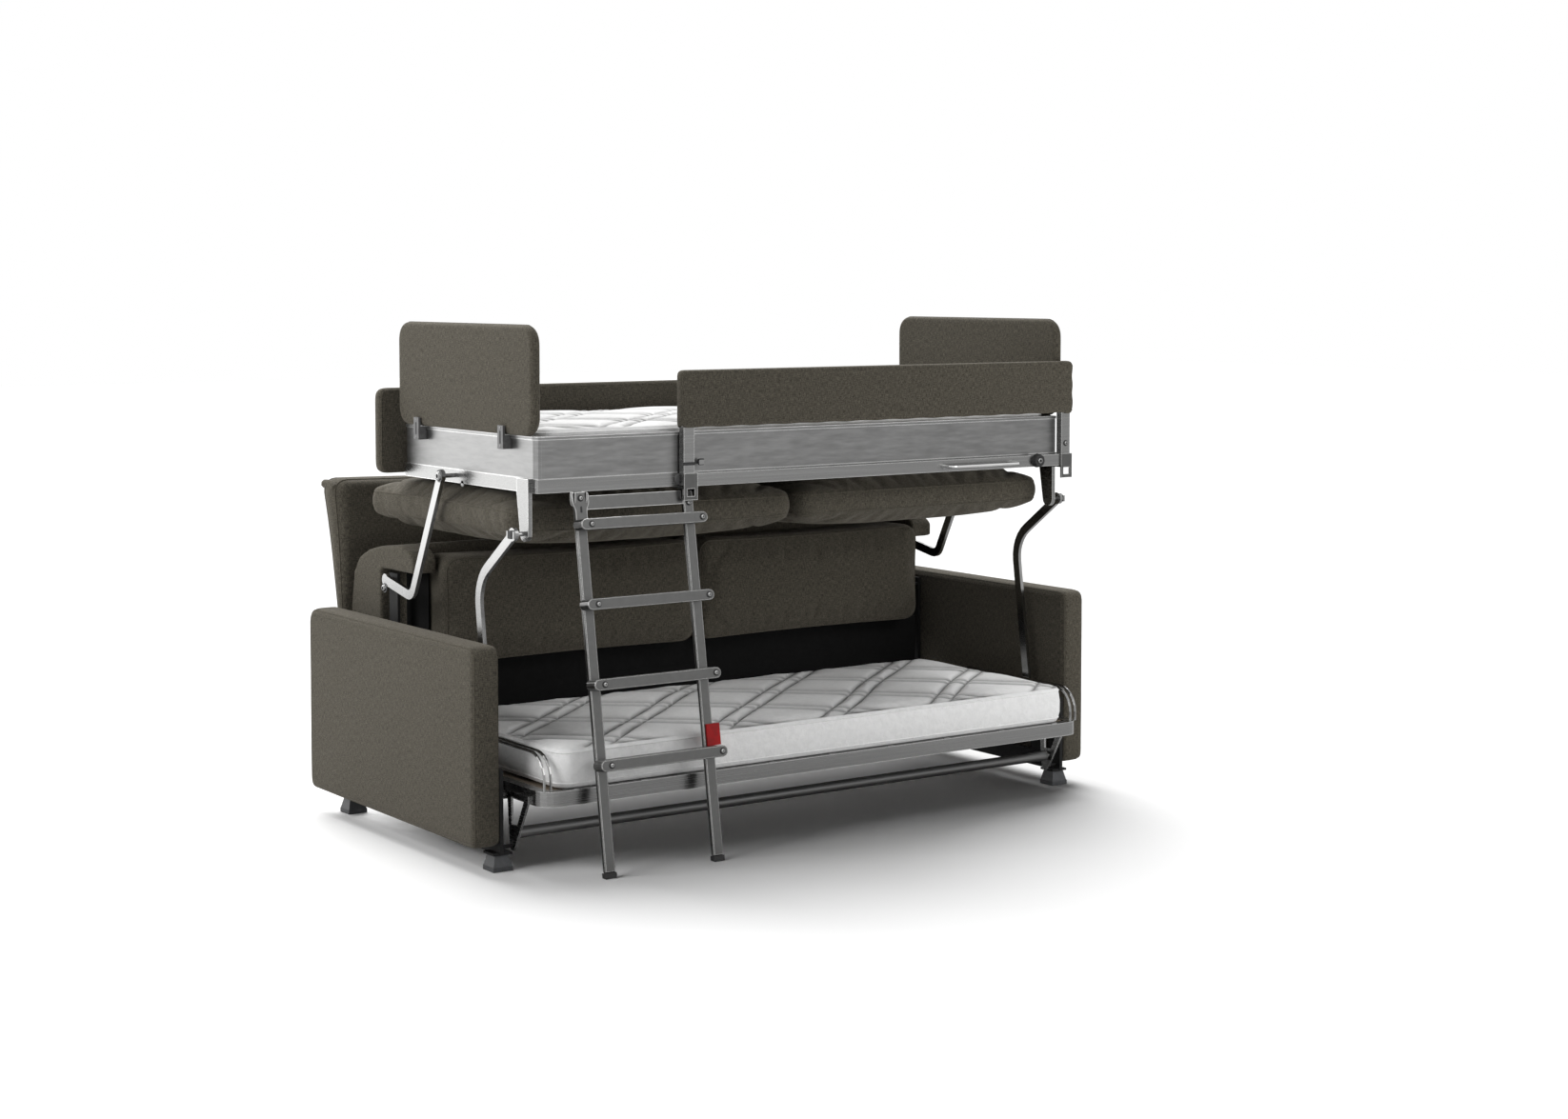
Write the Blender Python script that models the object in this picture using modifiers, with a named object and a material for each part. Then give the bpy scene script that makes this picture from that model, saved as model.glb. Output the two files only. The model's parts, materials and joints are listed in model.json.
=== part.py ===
"""Futon bunk bed: a two-seat sofa opened out into a lower and an upper bed.

Units are metres and +Z is up. The length runs along X, and the ladder side faces -Y.
Every size and place below is a real one, measured from the middle of the length,
from the floor, and along Y from one datum that the last step moves to mid depth.
"""

import math

import bmesh
import bpy
from mathutils import Matrix, Vector

# Fits
CLEARANCE = 0.0003
SLIP = 0.001
OVERRUN = 0.004

# Whole bed
OVERALL_LENGTH = 2.12

# Armrests
ARMREST_THICKNESS = 0.08
ARMREST_DEPTH = 1.014
ARMREST_HEIGHT = 0.531
ARMREST_FLOOR_GAP = 0.066
ARMREST_FRONT_Y = -0.435
ARMREST_CORNER = 0.045
ARMREST_EDGE = 0.016
ARMREST_CROWN = 0.004

# Feet
FOOT_HEIGHT = 0.043
FOOT_TOP = 0.044
FOOT_FLARE = 0.007
FOOT_TAPER = 0.00175
FOOT_SOLE = 0.008
FOOT_SOLE_RISE = 0.012
FOOT_OUTSET = 0.012
FOOT_FRONT_Y = -0.4
FOOT_REAR_Y = 0.47

# Side frames, each a steel plate along the inner face of an armrest
SIDE_PLATE = 0.011
SIDE_FRONT_Y = -0.43
SIDE_REAR_Y = 0.51
SIDE_RAIL_HEIGHT = 0.05
SIDE_POST_TOP = 0.27
SIDE_POST_WIDTH = 0.05
FOOT_PLATE = 0.006
FOOT_PLATE_LENGTH = 0.056
PIVOT_LUG = 0.03
REAR_BRACKET = 0.008
REAR_BRACKET_WIDTH = 0.056
REAR_BRACKET_SPACE = 0.016
REAR_BRACKET_DROP = 0.139

# Cross tubes between the side frames
CROSS_TUBE = 0.03
CROSS_TUBE_BEVEL = 0.003
MID_TUBE_FRONT_Y = 0.2005
MID_TUBE_TOP_Z = 0.2
REAR_TUBE_FRONT_Y = 0.415
REAR_TUBE_TOP_Z = 0.3

# Back of the sofa, folded open
BACK_SIDE_GAP = 0.0387
BOARD_INSET = 0.03
BOARD_THICKNESS = 0.01
SHELL_POST_WIDTH = 0.078
BACK_CUSHION_GAP = 0.002
BACK_CUSHION_BOTTOM_Z = 0.46
BACK_CUSHION_DROP = 0.027
BACK_CUSHION_FRONT_Y = 0.112
BACK_CUSHION_REAR_Y = 0.3
BACK_CUSHION_CORNER = 0.045
BACK_CUSHION_EDGE = 0.022
BACK_CUSHION_CROWN = 0.012
BACK_CUSHION_DRAW = 0.006
SHELL_REAR_Y = 0.56
SHELL_POST_FRONT_Y = 0.36
SHELL_WING_FRONT_Y = 0.158
SHELL_WING_DEPTH = 0.075
SHELL_SEAT_GAP = 0.027
SHELL_TOP_SHARES = (
    (1.0, 0.573), (0.94, 0.805), (0.85, 0.895), (0.7, 0.945),
    (0.53, 0.976), (0.21, 1.0), (0.06, 0.976), (0.0, 0.93),
)
BOLSTER_OVERHANG = 0.025
BOLSTER_BOTTOM_Z = 0.46
BOLSTER_RISE = 0.168
BOLSTER_FOOT = 0.022
BOLSTER_HEAD = 0.125
BOLSTER_LEAN = 0.052
BOLSTER_CORNER = 0.05
BOLSTER_EDGE_SHARE = 0.3
BOLSTER_CROWN = 0.015
BOLSTER_CREASE = 0.012

# Lower bed
LOWER_FRONT_Y = -0.569
LOWER_REAR_Y = 0.15
LOWER_CORNER = 0.045
LOWER_BOTTOM_Z = 0.184
LOWER_RAIL_HEIGHT = 0.04
LOWER_RAIL_WIDTH = 0.028
LEDGE_WIDTH = 0.018
LEDGE_DROP = 0.014
LEDGE_THICKNESS = 0.004
SLAT_THICKNESS = 0.01
SLAT_WIDTH = 0.07
SLAT_RIM = 0.03
SLAT_COUNT = 9
MATTRESS_END_GAP = 0.047
MATTRESS_SIDE_GAP = 0.008
MATTRESS_EDGE = 0.016
MATTRESS_CORNER = 0.05
MATTRESS_CROWN = 0.014
QUILT_DEPTH = 0.01
QUILT_CELLS = 4
MATTRESS_CELLS = (26, 10)
LOWER_MATTRESS_HEIGHT = 0.104
HOOP_ROD = 0.008
HOOP_SPACING = 0.019
HOOP_RISE = 0.097
HOOP_BEND = 0.07
HOOP_LENGTH = 0.549
HOOP_TIE_REACH = 0.369

# Swing frames that carry the lower bed
SWING_PLATE = 0.006
SWING_SPACE = 0.004
SWING_FOOT_RISE = 0.0177
SWING_OVERLAP = 0.02
SWING_LEAN = 0.03
SWING_FRONT_Y = -0.41
SWING_SPAN = 0.44
SWING_TOP_WIDTH = 0.11
SWING_FOOT_RADIUS = 0.014
SWING_LIMB = 0.014
SWING_SHOULDER = 0.0182
SWING_TUBE = 0.022
SWING_TUBE_RISE = 0.034
SWING_PIN = 0.01

# Lift arms, bent from flat bar
LIFT_BAR_WIDTH = 0.027
LIFT_BAR_THICKNESS = 0.011
LIFT_BAR_SPACE = 0.0217
LIFT_EYE_RADIUS = 0.018
LIFT_PIN = 0.012
FRONT_BASE_Y = -0.325
FRONT_BASE_Z = 0.19
FRONT_PIVOT_INSET = 0.049
FRONT_PIVOT_DROP = 0.107
FRONT_ELBOW_REACH = 0.197
FRONT_ELBOW_DROP = 0.142
FRONT_ELBOW_RADIUS = 0.11
REAR_BASE_Y = 0.3
REAR_BASE_DROP = 0.027
REAR_PIVOT_INSET = 0.307
REAR_PIVOT_RISE = 0.02
REAR_ELBOW_REACH = 0.163
REAR_ELBOW_DROP = 0.031
REAR_ELBOW_RADIUS = 0.03

# Upper bed
UPPER_SPACE = 0.0375
UPPER_FRONT_Y = -0.494
UPPER_REAR_Y = 0.267
UPPER_BOTTOM_Z = 0.994
UPPER_RAIL_HEIGHT = 0.037
UPPER_RAIL_WIDTH = 0.03
UPPER_RAIL_CORNER = 0.006
UPPER_CROSS_WIDTH = 0.03
UPPER_CROSS_COUNT = 3
UPPER_CROSS_PITCH_SHARE = 0.512
RIM_HEIGHT = 0.11
RIM_WALL = 0.004
RIM_CORNER = 0.022
RIM_LIP_HEIGHT = 0.008
RIM_LIP_PROUD = 0.0025
RIM_LIP_WIDTH = 0.016
RIM_FLANGE = 0.024
UPPER_MATTRESS_HEIGHT = 0.112
BRACKET_THICKNESS = 0.012
BRACKET_TOP_WIDTH = 0.06
BRACKET_END_RADIUS = 0.021

# Seat cushions, hung under the upper bed
SEAT_OVERHANG = 0.0215
SEAT_GAP = 0.003
SEAT_FRONT_INSET = 0.089
SEAT_REAR_OVERHANG = 0.213
SEAT_THICKNESS = 0.081
SEAT_CORNER = 0.06
SEAT_EDGE = 0.014
SEAT_CROWN_ABOVE = 0.0387
SEAT_CROWN_BELOW = 0.05
SEAT_DRAW = 0.008
SEAT_PINCH_SHARE = 0.5

# Rear guard, the apron of the folded sofa
APRON_OVERHANG = 0.0665
APRON_GAP_Y = 0.02
APRON_THICKNESS = 0.038
APRON_RISE = 0.006
APRON_HEIGHT = 0.243
APRON_EDGE = 0.012
APRON_CORNER = 0.024
APRON_CROWN = 0.003
STUB_PLACE_SHARE = 0.69
STUB_WIDTH = 0.04

# Headboards and their clips
HEADBOARD_SEAT = 0.018
HEADBOARD_THICKNESS = 0.036
HEADBOARD_OVERHANG = 0.008
HEADBOARD_HEIGHT = 0.29
HEADBOARD_CORNER = 0.05
HEADBOARD_EDGE = 0.012
HEADBOARD_CROWN = 0.004
CLIP_WIDTH = 0.03
CLIP_WALL = 0.007
CLIP_RISE = 0.0244
CLIP_DROP = 0.0373
CLIP_FRONT_INSET = 0.151
CLIP_REAR_INSET = 0.125

# Front guard
GUARD_OVERLAP = 0.022
GUARD_OVERHANG = 0.0215
GUARD_STAND_OFF = 0.005
GUARD_TUBE_DEPTH = 0.022
GUARD_TUBE_WIDTH = 0.034
GUARD_HEIGHT = 0.308
COVER_WALL = 0.005
COVER_HEIGHT = 0.155
COVER_SLACK = 0.004
GUARD_HOOK_WIDTH = 0.043
GUARD_HOOK_PLATE = 0.005
GUARD_HOOK_RISE = 0.036
GUARD_HOOK_DROP = 0.037
GUARD_HOOK_WINDOW_WIDTH = 0.024
GUARD_HOOK_WINDOW_HEIGHT = 0.02
HANDLE_END_GAP = 0.22
HANDLE_WIDTH = 0.265
HANDLE_ROD = 0.009
HANDLE_REACH = 0.034
HANDLE_BEND = 0.018
HANDLE_RISE = 0.016
KNOB_END_GAP = 0.13
KNOB_DIAMETER = 0.042
KNOB_DEPTH = 0.014
LATCH_RISE = 0.064
LATCH_PIN = 0.008
LATCH_LENGTH = 0.034
LATCH_HEAD = 0.018
LATCH_HEAD_LENGTH = 0.012

# Ladder, built along its own slope
LADDER_PIVOT_REACH = 0.006
LADDER_PIVOT_DROP = 0.024
LADDER_FLOOR_GAP = 0.0807
LADDER_END_GAP = 0.1205
LADDER_WIDTH = 0.337
STILE_WIDTH = 0.031
STILE_DEPTH = 0.015
STILE_HEAD = 0.012
LADDER_PIN = 0.007
LADDER_CHEEK = 0.003
CHEEK_WIDTH = 0.024
CAP_HEIGHT = 0.014
CAP_WALL = 0.0015
TOP_BAR_HEIGHT = 0.036
TOP_BAR_THICKNESS = 0.01
RUNG_COUNT = 4
RUNG_FIRST = 0.064
RUNG_LAST = 0.2905
RUNG_HEIGHT = 0.03
RUNG_DEPTH = 0.045
RUNG_END_REACH = 0.028
CATCH_HEIGHT = 0.058
CATCH_LIP = 0.005
CATCH_FRONT_REACH = 0.024
CATCH_REAR_REACH = 0.008
CATCH_BLOCK = 0.018

# Small roundings
SHEET_BEVEL = 0.0008
TUBE_BEVEL = 0.0025
KNOB_BEVEL = 0.003
RUNG_BEVEL = 0.0015

# Rounding steps
ROUND_STEPS = 12
ARC_STEPS = 4

PARTS_COLLECTION = "Futon_Bunk_Bed"
CUTTERS_COLLECTION = "Futon_Bunk_Bed_Cutters"

# Places along the length, from each end inward
arm_inner_x = OVERALL_LENGTH / 2 - ARMREST_THICKNESS
side_outer_x = arm_inner_x - CLEARANCE
side_inner_x = side_outer_x - SIDE_PLATE
lift_outer_x = side_inner_x - LIFT_BAR_SPACE
lift_inner_x = lift_outer_x - LIFT_BAR_THICKNESS
swing_outer_x = lift_inner_x - SWING_SPACE
swing_inner_x = swing_outer_x - SWING_PLATE
lower_half_length = swing_inner_x - SLIP
mattress_half_length = lower_half_length - MATTRESS_END_GAP
upper_half_length = lift_inner_x - UPPER_SPACE
bracket_inner_x = upper_half_length + CLEARANCE
bracket_outer_x = bracket_inner_x + BRACKET_THICKNESS
rear_bracket_x = lift_inner_x - REAR_BRACKET_SPACE
upper_cross_pitch = upper_half_length * UPPER_CROSS_PITCH_SHARE
stub_place_x = upper_half_length * STUB_PLACE_SHARE
seat_end_x = upper_half_length + SEAT_OVERHANG
apron_end_x = upper_half_length + APRON_OVERHANG
headboard_inner_x = upper_half_length - HEADBOARD_SEAT
headboard_outer_x = headboard_inner_x + HEADBOARD_THICKNESS
shell_end_x = side_inner_x - BACK_SIDE_GAP
board_end_x = shell_end_x - BOARD_INSET
back_cushion_end_x = shell_end_x - SHELL_POST_WIDTH
bolster_end_x = shell_end_x + BOLSTER_OVERHANG
ladder_left_x = LADDER_END_GAP - upper_half_length
ladder_right_x = ladder_left_x + LADDER_WIDTH
guard_left_x = ladder_right_x - GUARD_OVERLAP
guard_right_x = upper_half_length + GUARD_OVERHANG
handle_right_x = guard_right_x - HANDLE_END_GAP
handle_left_x = handle_right_x - HANDLE_WIDTH
knob_x = guard_right_x - KNOB_END_GAP

# Heights of the lower bed and its swing frames
side_bottom_z = FOOT_HEIGHT + CLEARANCE
swing_bottom_z = side_bottom_z + SWING_FOOT_RISE
swing_height = LOWER_BOTTOM_Z + SWING_OVERLAP - swing_bottom_z
lower_top_z = LOWER_BOTTOM_Z + LOWER_RAIL_HEIGHT
ledge_top_z = lower_top_z - LEDGE_DROP
hoop_top_z = lower_top_z + HOOP_RISE

# Heights of the upper bed, the seat cushions under it and the back below them
under_rail_z = UPPER_BOTTOM_Z - CLEARANCE
upper_rail_top_z = UPPER_BOTTOM_Z + UPPER_RAIL_HEIGHT
rim_bottom_z = upper_rail_top_z + CLEARANCE
rim_top_z = rim_bottom_z + RIM_HEIGHT
headboard_bottom_z = rim_top_z + CLEARANCE
clip_top_z = headboard_bottom_z + CLIP_RISE
clip_bottom_z = rim_top_z - CLIP_DROP
apron_bottom_z = UPPER_BOTTOM_Z + APRON_RISE
guard_bottom_z = UPPER_BOTTOM_Z
guard_top_z = guard_bottom_z + GUARD_HEIGHT
guard_rail_mid_z = guard_bottom_z + UPPER_RAIL_HEIGHT / 2
cover_bottom_z = guard_top_z - COVER_HEIGHT
latch_z = guard_bottom_z + LATCH_RISE
seat_high_z = under_rail_z - SEAT_CROWN_ABOVE
seat_low_z = seat_high_z - SEAT_THICKNESS
shell_top_z = seat_low_z - SEAT_CROWN_BELOW - SHELL_SEAT_GAP
shell_wing_underside_z = shell_top_z - SHELL_WING_DEPTH
back_cushion_height = shell_top_z - BACK_CUSHION_DROP - BACK_CUSHION_BOTTOM_Z
bolster_top_z = shell_top_z + BOLSTER_RISE

# Places across the depth
lower_depth = LOWER_REAR_Y - LOWER_FRONT_Y
lower_mid_y = (LOWER_REAR_Y + LOWER_FRONT_Y) / 2
hoop_rear_y = LOWER_FRONT_Y + HOOP_LENGTH
hoop_tie_y = LOWER_FRONT_Y + HOOP_TIE_REACH
upper_depth = UPPER_REAR_Y - UPPER_FRONT_Y
upper_mid_y = (UPPER_REAR_Y + UPPER_FRONT_Y) / 2
mattress_half_depth = upper_depth / 2 - RIM_LIP_WIDTH - 2 * SLIP
seat_front_y = UPPER_FRONT_Y + SEAT_FRONT_INSET
seat_rear_y = UPPER_REAR_Y + SEAT_REAR_OVERHANG
headboard_rear_y = UPPER_REAR_Y + HEADBOARD_OVERHANG
clip_front_y = UPPER_FRONT_Y + CLIP_FRONT_INSET
clip_rear_y = UPPER_REAR_Y - CLIP_REAR_INSET
guard_back_y = UPPER_FRONT_Y - GUARD_STAND_OFF
guard_front_y = guard_back_y - GUARD_TUBE_DEPTH
guard_mid_y = (guard_back_y + guard_front_y) / 2
bolster_front_y = SHELL_REAR_Y + CLEARANCE

# Pivots and elbows of the lift arms
front_top_y = UPPER_FRONT_Y + FRONT_PIVOT_INSET
front_top_z = UPPER_BOTTOM_Z - FRONT_PIVOT_DROP
front_elbow_y = front_top_y + FRONT_ELBOW_REACH
front_elbow_z = front_top_z - FRONT_ELBOW_DROP
bracket_front_y = front_top_y - BRACKET_END_RADIUS
rear_base_z = shell_wing_underside_z - REAR_BASE_DROP
rear_bracket_shelf_z = rear_base_z - REAR_BRACKET_DROP
rear_top_y = UPPER_REAR_Y - REAR_PIVOT_INSET
rear_top_z = UPPER_BOTTOM_Z + REAR_PIVOT_RISE
rear_elbow_y = REAR_BASE_Y - REAR_ELBOW_REACH
rear_elbow_z = rear_base_z - REAR_ELBOW_DROP

# Slope of the ladder and the pitch of its rungs
ladder_pivot_y = UPPER_FRONT_Y - LADDER_PIVOT_REACH
ladder_pivot_z = UPPER_BOTTOM_Z - LADDER_PIVOT_DROP
ladder_foot_y = LOWER_FRONT_Y - LADDER_FLOOR_GAP
ladder_lean = math.atan2(ladder_pivot_y - ladder_foot_y, ladder_pivot_z)
ladder_length = ladder_pivot_z / math.cos(ladder_lean)
rung_pitch = (ladder_length - RUNG_FIRST - RUNG_LAST) / (RUNG_COUNT - 1)


# Scene, collections and materials


def clear_scene():
    for obj in list(bpy.data.objects):
        bpy.data.objects.remove(obj, do_unlink=True)


def new_collection(name):
    collection = bpy.data.collections.new(name)
    bpy.context.scene.collection.children.link(collection)
    return collection


def finish(name, colour, roughness, metallic=0.0):
    """A Principled material in one plain colour."""
    material = bpy.data.materials.new(name)
    material.use_nodes = True
    shader = material.node_tree.nodes["Principled BSDF"]
    shader.inputs["Base Color"].default_value = (*colour, 1.0)
    shader.inputs["Roughness"].default_value = roughness
    shader.inputs["Metallic"].default_value = metallic
    material.diffuse_color = (*colour, 1.0)
    return material


clear_scene()
parts = new_collection(PARTS_COLLECTION)
cutters = new_collection(CUTTERS_COLLECTION)

woven_cover = finish("woven_cover", (0.105, 0.097, 0.08), 0.9)
dark_lining = finish("dark_lining", (0.012, 0.012, 0.012), 0.8)
brushed_rim = finish("brushed_rim", (0.56, 0.56, 0.55), 0.34, 1.0)
rail_steel = finish("rail_steel", (0.6, 0.6, 0.59), 0.3, 1.0)
chrome = finish("chrome", (0.75, 0.75, 0.74), 0.12, 1.0)
ladder_steel = finish("ladder_steel", (0.4, 0.4, 0.39), 0.36, 1.0)
frame_steel = finish("frame_steel", (0.12, 0.12, 0.12), 0.5, 1.0)
ticking = finish("ticking", (0.82, 0.82, 0.8), 0.75)
slat_wood = finish("slat_wood", (0.55, 0.4, 0.24), 0.6)
foot_plastic = finish("foot_plastic", (0.05, 0.052, 0.055), 0.5)
clip_plastic = finish("clip_plastic", (0.15, 0.15, 0.15), 0.45)
black_rubber = finish("black_rubber", (0.01, 0.01, 0.01), 0.6)
red_plastic = finish("red_plastic", (0.5, 0.006, 0.01), 0.35)


# Placing pieces


class Carrier:
    """An empty that pieces hang on, with its place in the design frame."""

    def __init__(self, name, at, parent=None, turn=0.0):
        self.empty = bpy.data.objects.new(name, None)
        parts.objects.link(self.empty)
        local = Matrix.Translation(at)
        if parent is None:
            self.frame = local
            self.empty.matrix_basis = local
        else:
            self.frame = local @ Matrix.Rotation(turn, 4, "X")
            self.empty.parent = parent.empty
            self.empty.matrix_basis = parent.frame.inverted() @ self.frame


def place(name, mesh, carrier, material, collection=None):
    """Hang a mesh drawn in the design frame on a carrier."""
    mesh.name = name
    mesh.transform(carrier.frame.inverted())
    mesh.materials.clear()
    mesh.materials.append(material)
    obj = bpy.data.objects.new(name, mesh)
    (collection or parts).objects.link(obj)
    obj.parent = carrier.empty
    return obj


def place_local(name, mesh, carrier, material, collection=None):
    """Hang a mesh drawn in the carrier's own frame on it."""
    mesh.transform(carrier.frame)
    return place(name, mesh, carrier, material, collection)


def helper(mesh, carrier, local=False):
    """A hidden shape that cuts or joins another."""
    put = place_local if local else place
    obj = put("cutter", mesh, carrier, frame_steel, cutters)
    obj.hide_render = True
    obj.display_type = "WIRE"
    return obj


def combine(obj, mesh, carrier, operation, local=False):
    modifier = obj.modifiers.new(operation.lower(), "BOOLEAN")
    modifier.operation = operation
    modifier.solver = "EXACT"
    modifier.object = helper(mesh, carrier, local)


def soften(obj, width, segments=1):
    modifier = obj.modifiers.new("soften", "BEVEL")
    modifier.width = width
    modifier.segments = segments
    modifier.limit_method = "ANGLE"


def shade_round(obj, angle=35):
    obj.data.shade_smooth()
    obj.data.set_sharp_from_angle(angle=math.radians(angle))


# Shapes


def mesh_of(bm):
    """A mesh of the shape, with all its faces turned outward."""
    bmesh.ops.recalc_face_normals(bm, faces=bm.faces[:])
    if bm.calc_volume(signed=True) < 0:
        bmesh.ops.reverse_faces(bm, faces=bm.faces[:])
    mesh = bpy.data.meshes.new("shape")
    bm.to_mesh(mesh)
    bm.free()
    return mesh


def block(low, high):
    """A box between two corners."""
    low, high = Vector(low), Vector(high)
    bm = bmesh.new()
    bmesh.ops.create_cube(bm, size=1)
    size = high - low
    bmesh.ops.transform(
        bm,
        matrix=Matrix.Translation((low + high) / 2) @ Matrix.Diagonal((*size, 1)),
        verts=bm.verts[:],
    )
    return mesh_of(bm)


def drum(start, end, radius, end_radius=None, steps=ROUND_STEPS):
    """A round pin or cone from one point to another."""
    start, end = Vector(start), Vector(end)
    bm = bmesh.new()
    bmesh.ops.create_cone(
        bm,
        cap_ends=True,
        segments=steps,
        radius1=radius,
        radius2=radius if end_radius is None else end_radius,
        depth=(end - start).length,
    )
    turn = (end - start).to_track_quat("Z", "Y").to_matrix().to_4x4()
    bmesh.ops.transform(bm, matrix=Matrix.Translation((start + end) / 2) @ turn, verts=bm.verts[:])
    return mesh_of(bm)


def plane_frame(plane):
    """The turn that lays a flat outline in a plane, such as YZ."""
    axes = Matrix.Identity(3)
    first, second = (axes["XYZ".index(name)] for name in plane)
    return Matrix((first, second, first.cross(second))).transposed().to_4x4()


def plate(loops, plane, start, end):
    """Flat outlines filled and extruded between two places along the plane's normal."""
    curve = bpy.data.curves.new("outline", "CURVE")
    curve.dimensions = "2D"
    curve.fill_mode = "BOTH"
    curve.extrude = abs(end - start) / 2
    for loop in loops:
        spline = curve.splines.new("POLY")
        spline.points.add(len(loop) - 1)
        for point, (across, up) in zip(spline.points, loop):
            point.co = Vector((across, up, 0)).to_4d()
        spline.use_cyclic_u = True
    mesh = mesh_from_curve(curve)
    turn = plane_frame(plane)
    mesh.transform(turn)
    through = Vector([abs(part) for part in turn.col[2][:3]])
    mesh.transform(Matrix.Translation(through * (start + end) / 2))
    return mesh


def mesh_from_curve(curve):
    """The mesh of a curve with its caps welded on."""
    obj = bpy.data.objects.new("curve", curve)
    cutters.objects.link(obj)
    bpy.context.view_layer.update()
    graph = bpy.context.evaluated_depsgraph_get()
    mesh = bpy.data.meshes.new_from_object(obj.evaluated_get(graph))
    bpy.data.objects.remove(obj, do_unlink=True)
    bm = bmesh.new()
    bm.from_mesh(mesh)
    bmesh.ops.remove_doubles(bm, verts=bm.verts[:], dist=CLEARANCE / 10)
    bmesh.ops.recalc_face_normals(bm, faces=bm.faces[:])
    bm.to_mesh(mesh)
    bm.free()
    return mesh


def rod(points, diameter, resolution=2):
    """A round wire along a route of points."""
    curve = bpy.data.curves.new("route", "CURVE")
    curve.dimensions = "3D"
    curve.bevel_depth = diameter / 2
    curve.bevel_resolution = resolution
    curve.use_fill_caps = True
    spline = curve.splines.new("POLY")
    spline.points.add(len(points) - 1)
    for point, place_at in zip(spline.points, points):
        point.co = Vector(place_at).to_4d()
    return mesh_from_curve(curve)


def arc(centre, radius, start, end, steps):
    """Points along an arc, angles in degrees from the first axis."""
    return [
        (
            centre[0] + radius * math.cos(math.radians(start + (end - start) * step / steps)),
            centre[1] + radius * math.sin(math.radians(start + (end - start) * step / steps)),
        )
        for step in range(steps + 1)
    ]


def rounded_corner(before, corner, after, radius, steps=ARC_STEPS):
    """Points that round a route's corner, in two or three dimensions."""
    before, corner, after = Vector(before), Vector(corner), Vector(after)
    inward = (before - corner).normalized()
    outward = (after - corner).normalized()
    half = inward.angle(outward) / 2
    reach = radius / math.tan(half)
    centre = corner + (inward + outward).normalized() * radius / math.sin(half)
    first = corner + inward * reach - centre
    last = corner + outward * reach - centre
    sweep = first.angle(last)
    points = []
    for step in range(steps + 1):
        share = step / steps
        arm = first * math.sin((1 - share) * sweep) + last * math.sin(share * sweep)
        points.append(centre + arm / math.sin(sweep))
    return points


def bar_outline(route, width, end_radius):
    """The outline of a flat bar along a flat route, with round eyes at its ends."""
    half = width / 2
    left, right = [], []
    for index, point in enumerate(route):
        ahead = route[min(index + 1, len(route) - 1)] - route[max(index - 1, 0)]
        normal = Vector((-ahead.y, ahead.x)).normalized()
        left.append(point + normal * half)
        right.append(point - normal * half)
    meet = math.degrees(math.asin(half / end_radius))
    heading = math.degrees(math.atan2(*(route[1] - route[0]).yx))
    first_eye = arc(route[0], end_radius, heading + meet, heading + 360 - meet, ROUND_STEPS)
    heading = math.degrees(math.atan2(*(route[-2] - route[-1]).yx))
    last_eye = arc(route[-1], end_radius, heading + meet, heading + 360 - meet, ROUND_STEPS)
    return first_eye + [tuple(point) for point in right[1:-1]] + last_eye + [
        tuple(point) for point in reversed(left[1:-1])
    ]


def rounded_rectangle(half_x, half_y, corner, inset=0.0, steps=ARC_STEPS):
    """Points round a rectangle, all moved in by the inset."""
    radius = max(corner - inset, CLEARANCE)
    points = []
    for turn, (sign_x, sign_y) in enumerate(((1, 1), (-1, 1), (-1, -1), (1, -1))):
        centre = (sign_x * (half_x - inset - radius), sign_y * (half_y - inset - radius))
        points += arc(centre, radius, 90 * turn, 90 * (turn + 1), steps)
    return points


def ring(half_x, half_y, corner, section, steps=ARC_STEPS):
    """A closed frame: a section of (inset, height) points led round a rectangle."""
    bm = bmesh.new()
    rows = []
    for inset, height in section:
        outline = rounded_rectangle(half_x, half_y, corner, inset, steps)
        rows.append([bm.verts.new((x, y, height)) for x, y in outline])
    count = len(rows[0])
    for row, following in zip(rows, rows[1:] + rows[:1]):
        for index in range(count):
            beside = (index + 1) % count
            bm.faces.new((row[index], row[beside], following[beside], following[index]))
    return mesh_of(bm)


def skyline(low_y, high_y, low_z, rail_z, posts):
    """The outline of a rail with posts standing on it, each (from, to, top)."""
    points = [(low_y, low_z), (high_y, low_z), (high_y, rail_z)]
    for start, end, top in sorted(posts, reverse=True):
        if end < high_y:
            points.append((end, rail_z))
        else:
            points.pop()
        points += [(end, top), (start, top)]
        if start > low_y:
            points.append((start, rail_z))
    if min(posts)[0] > low_y:
        points.append((low_y, rail_z))
    return points


def slat_rack(length, depth, thickness, middle, bottom_z):
    """Slats joined by a strip along each end, as one plate with windows."""
    half_length, half_depth = length / 2, depth / 2
    outer = rounded_rectangle(half_length, half_depth, SLAT_RIM, 0.0, 2)
    pitch = (length - SLAT_WIDTH) / (SLAT_COUNT - 1)
    windows = []
    for index in range(SLAT_COUNT - 1):
        left = -half_length + SLAT_WIDTH + index * pitch
        right = left + pitch - SLAT_WIDTH
        reach = half_depth - SLAT_RIM
        windows.append([(left, -reach), (right, -reach), (right, reach), (left, reach)])
    mesh = plate([outer] + windows, "XY", bottom_z, bottom_z + thickness)
    mesh.transform(Matrix.Translation((0, middle, 0)))
    return mesh


# Soft forms


def spread(cells, corner_share, corner_lines=2):
    """Grid lines from -1 to 1, closer together in the rounded corners."""
    near = [1 - corner_share * step / corner_lines for step in range(corner_lines)]
    inner = 1 - corner_share
    middle = [inner * (2 * step / cells - 1) for step in range(cells + 1)]
    return [-line for line in near] + middle + near[::-1]


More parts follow.
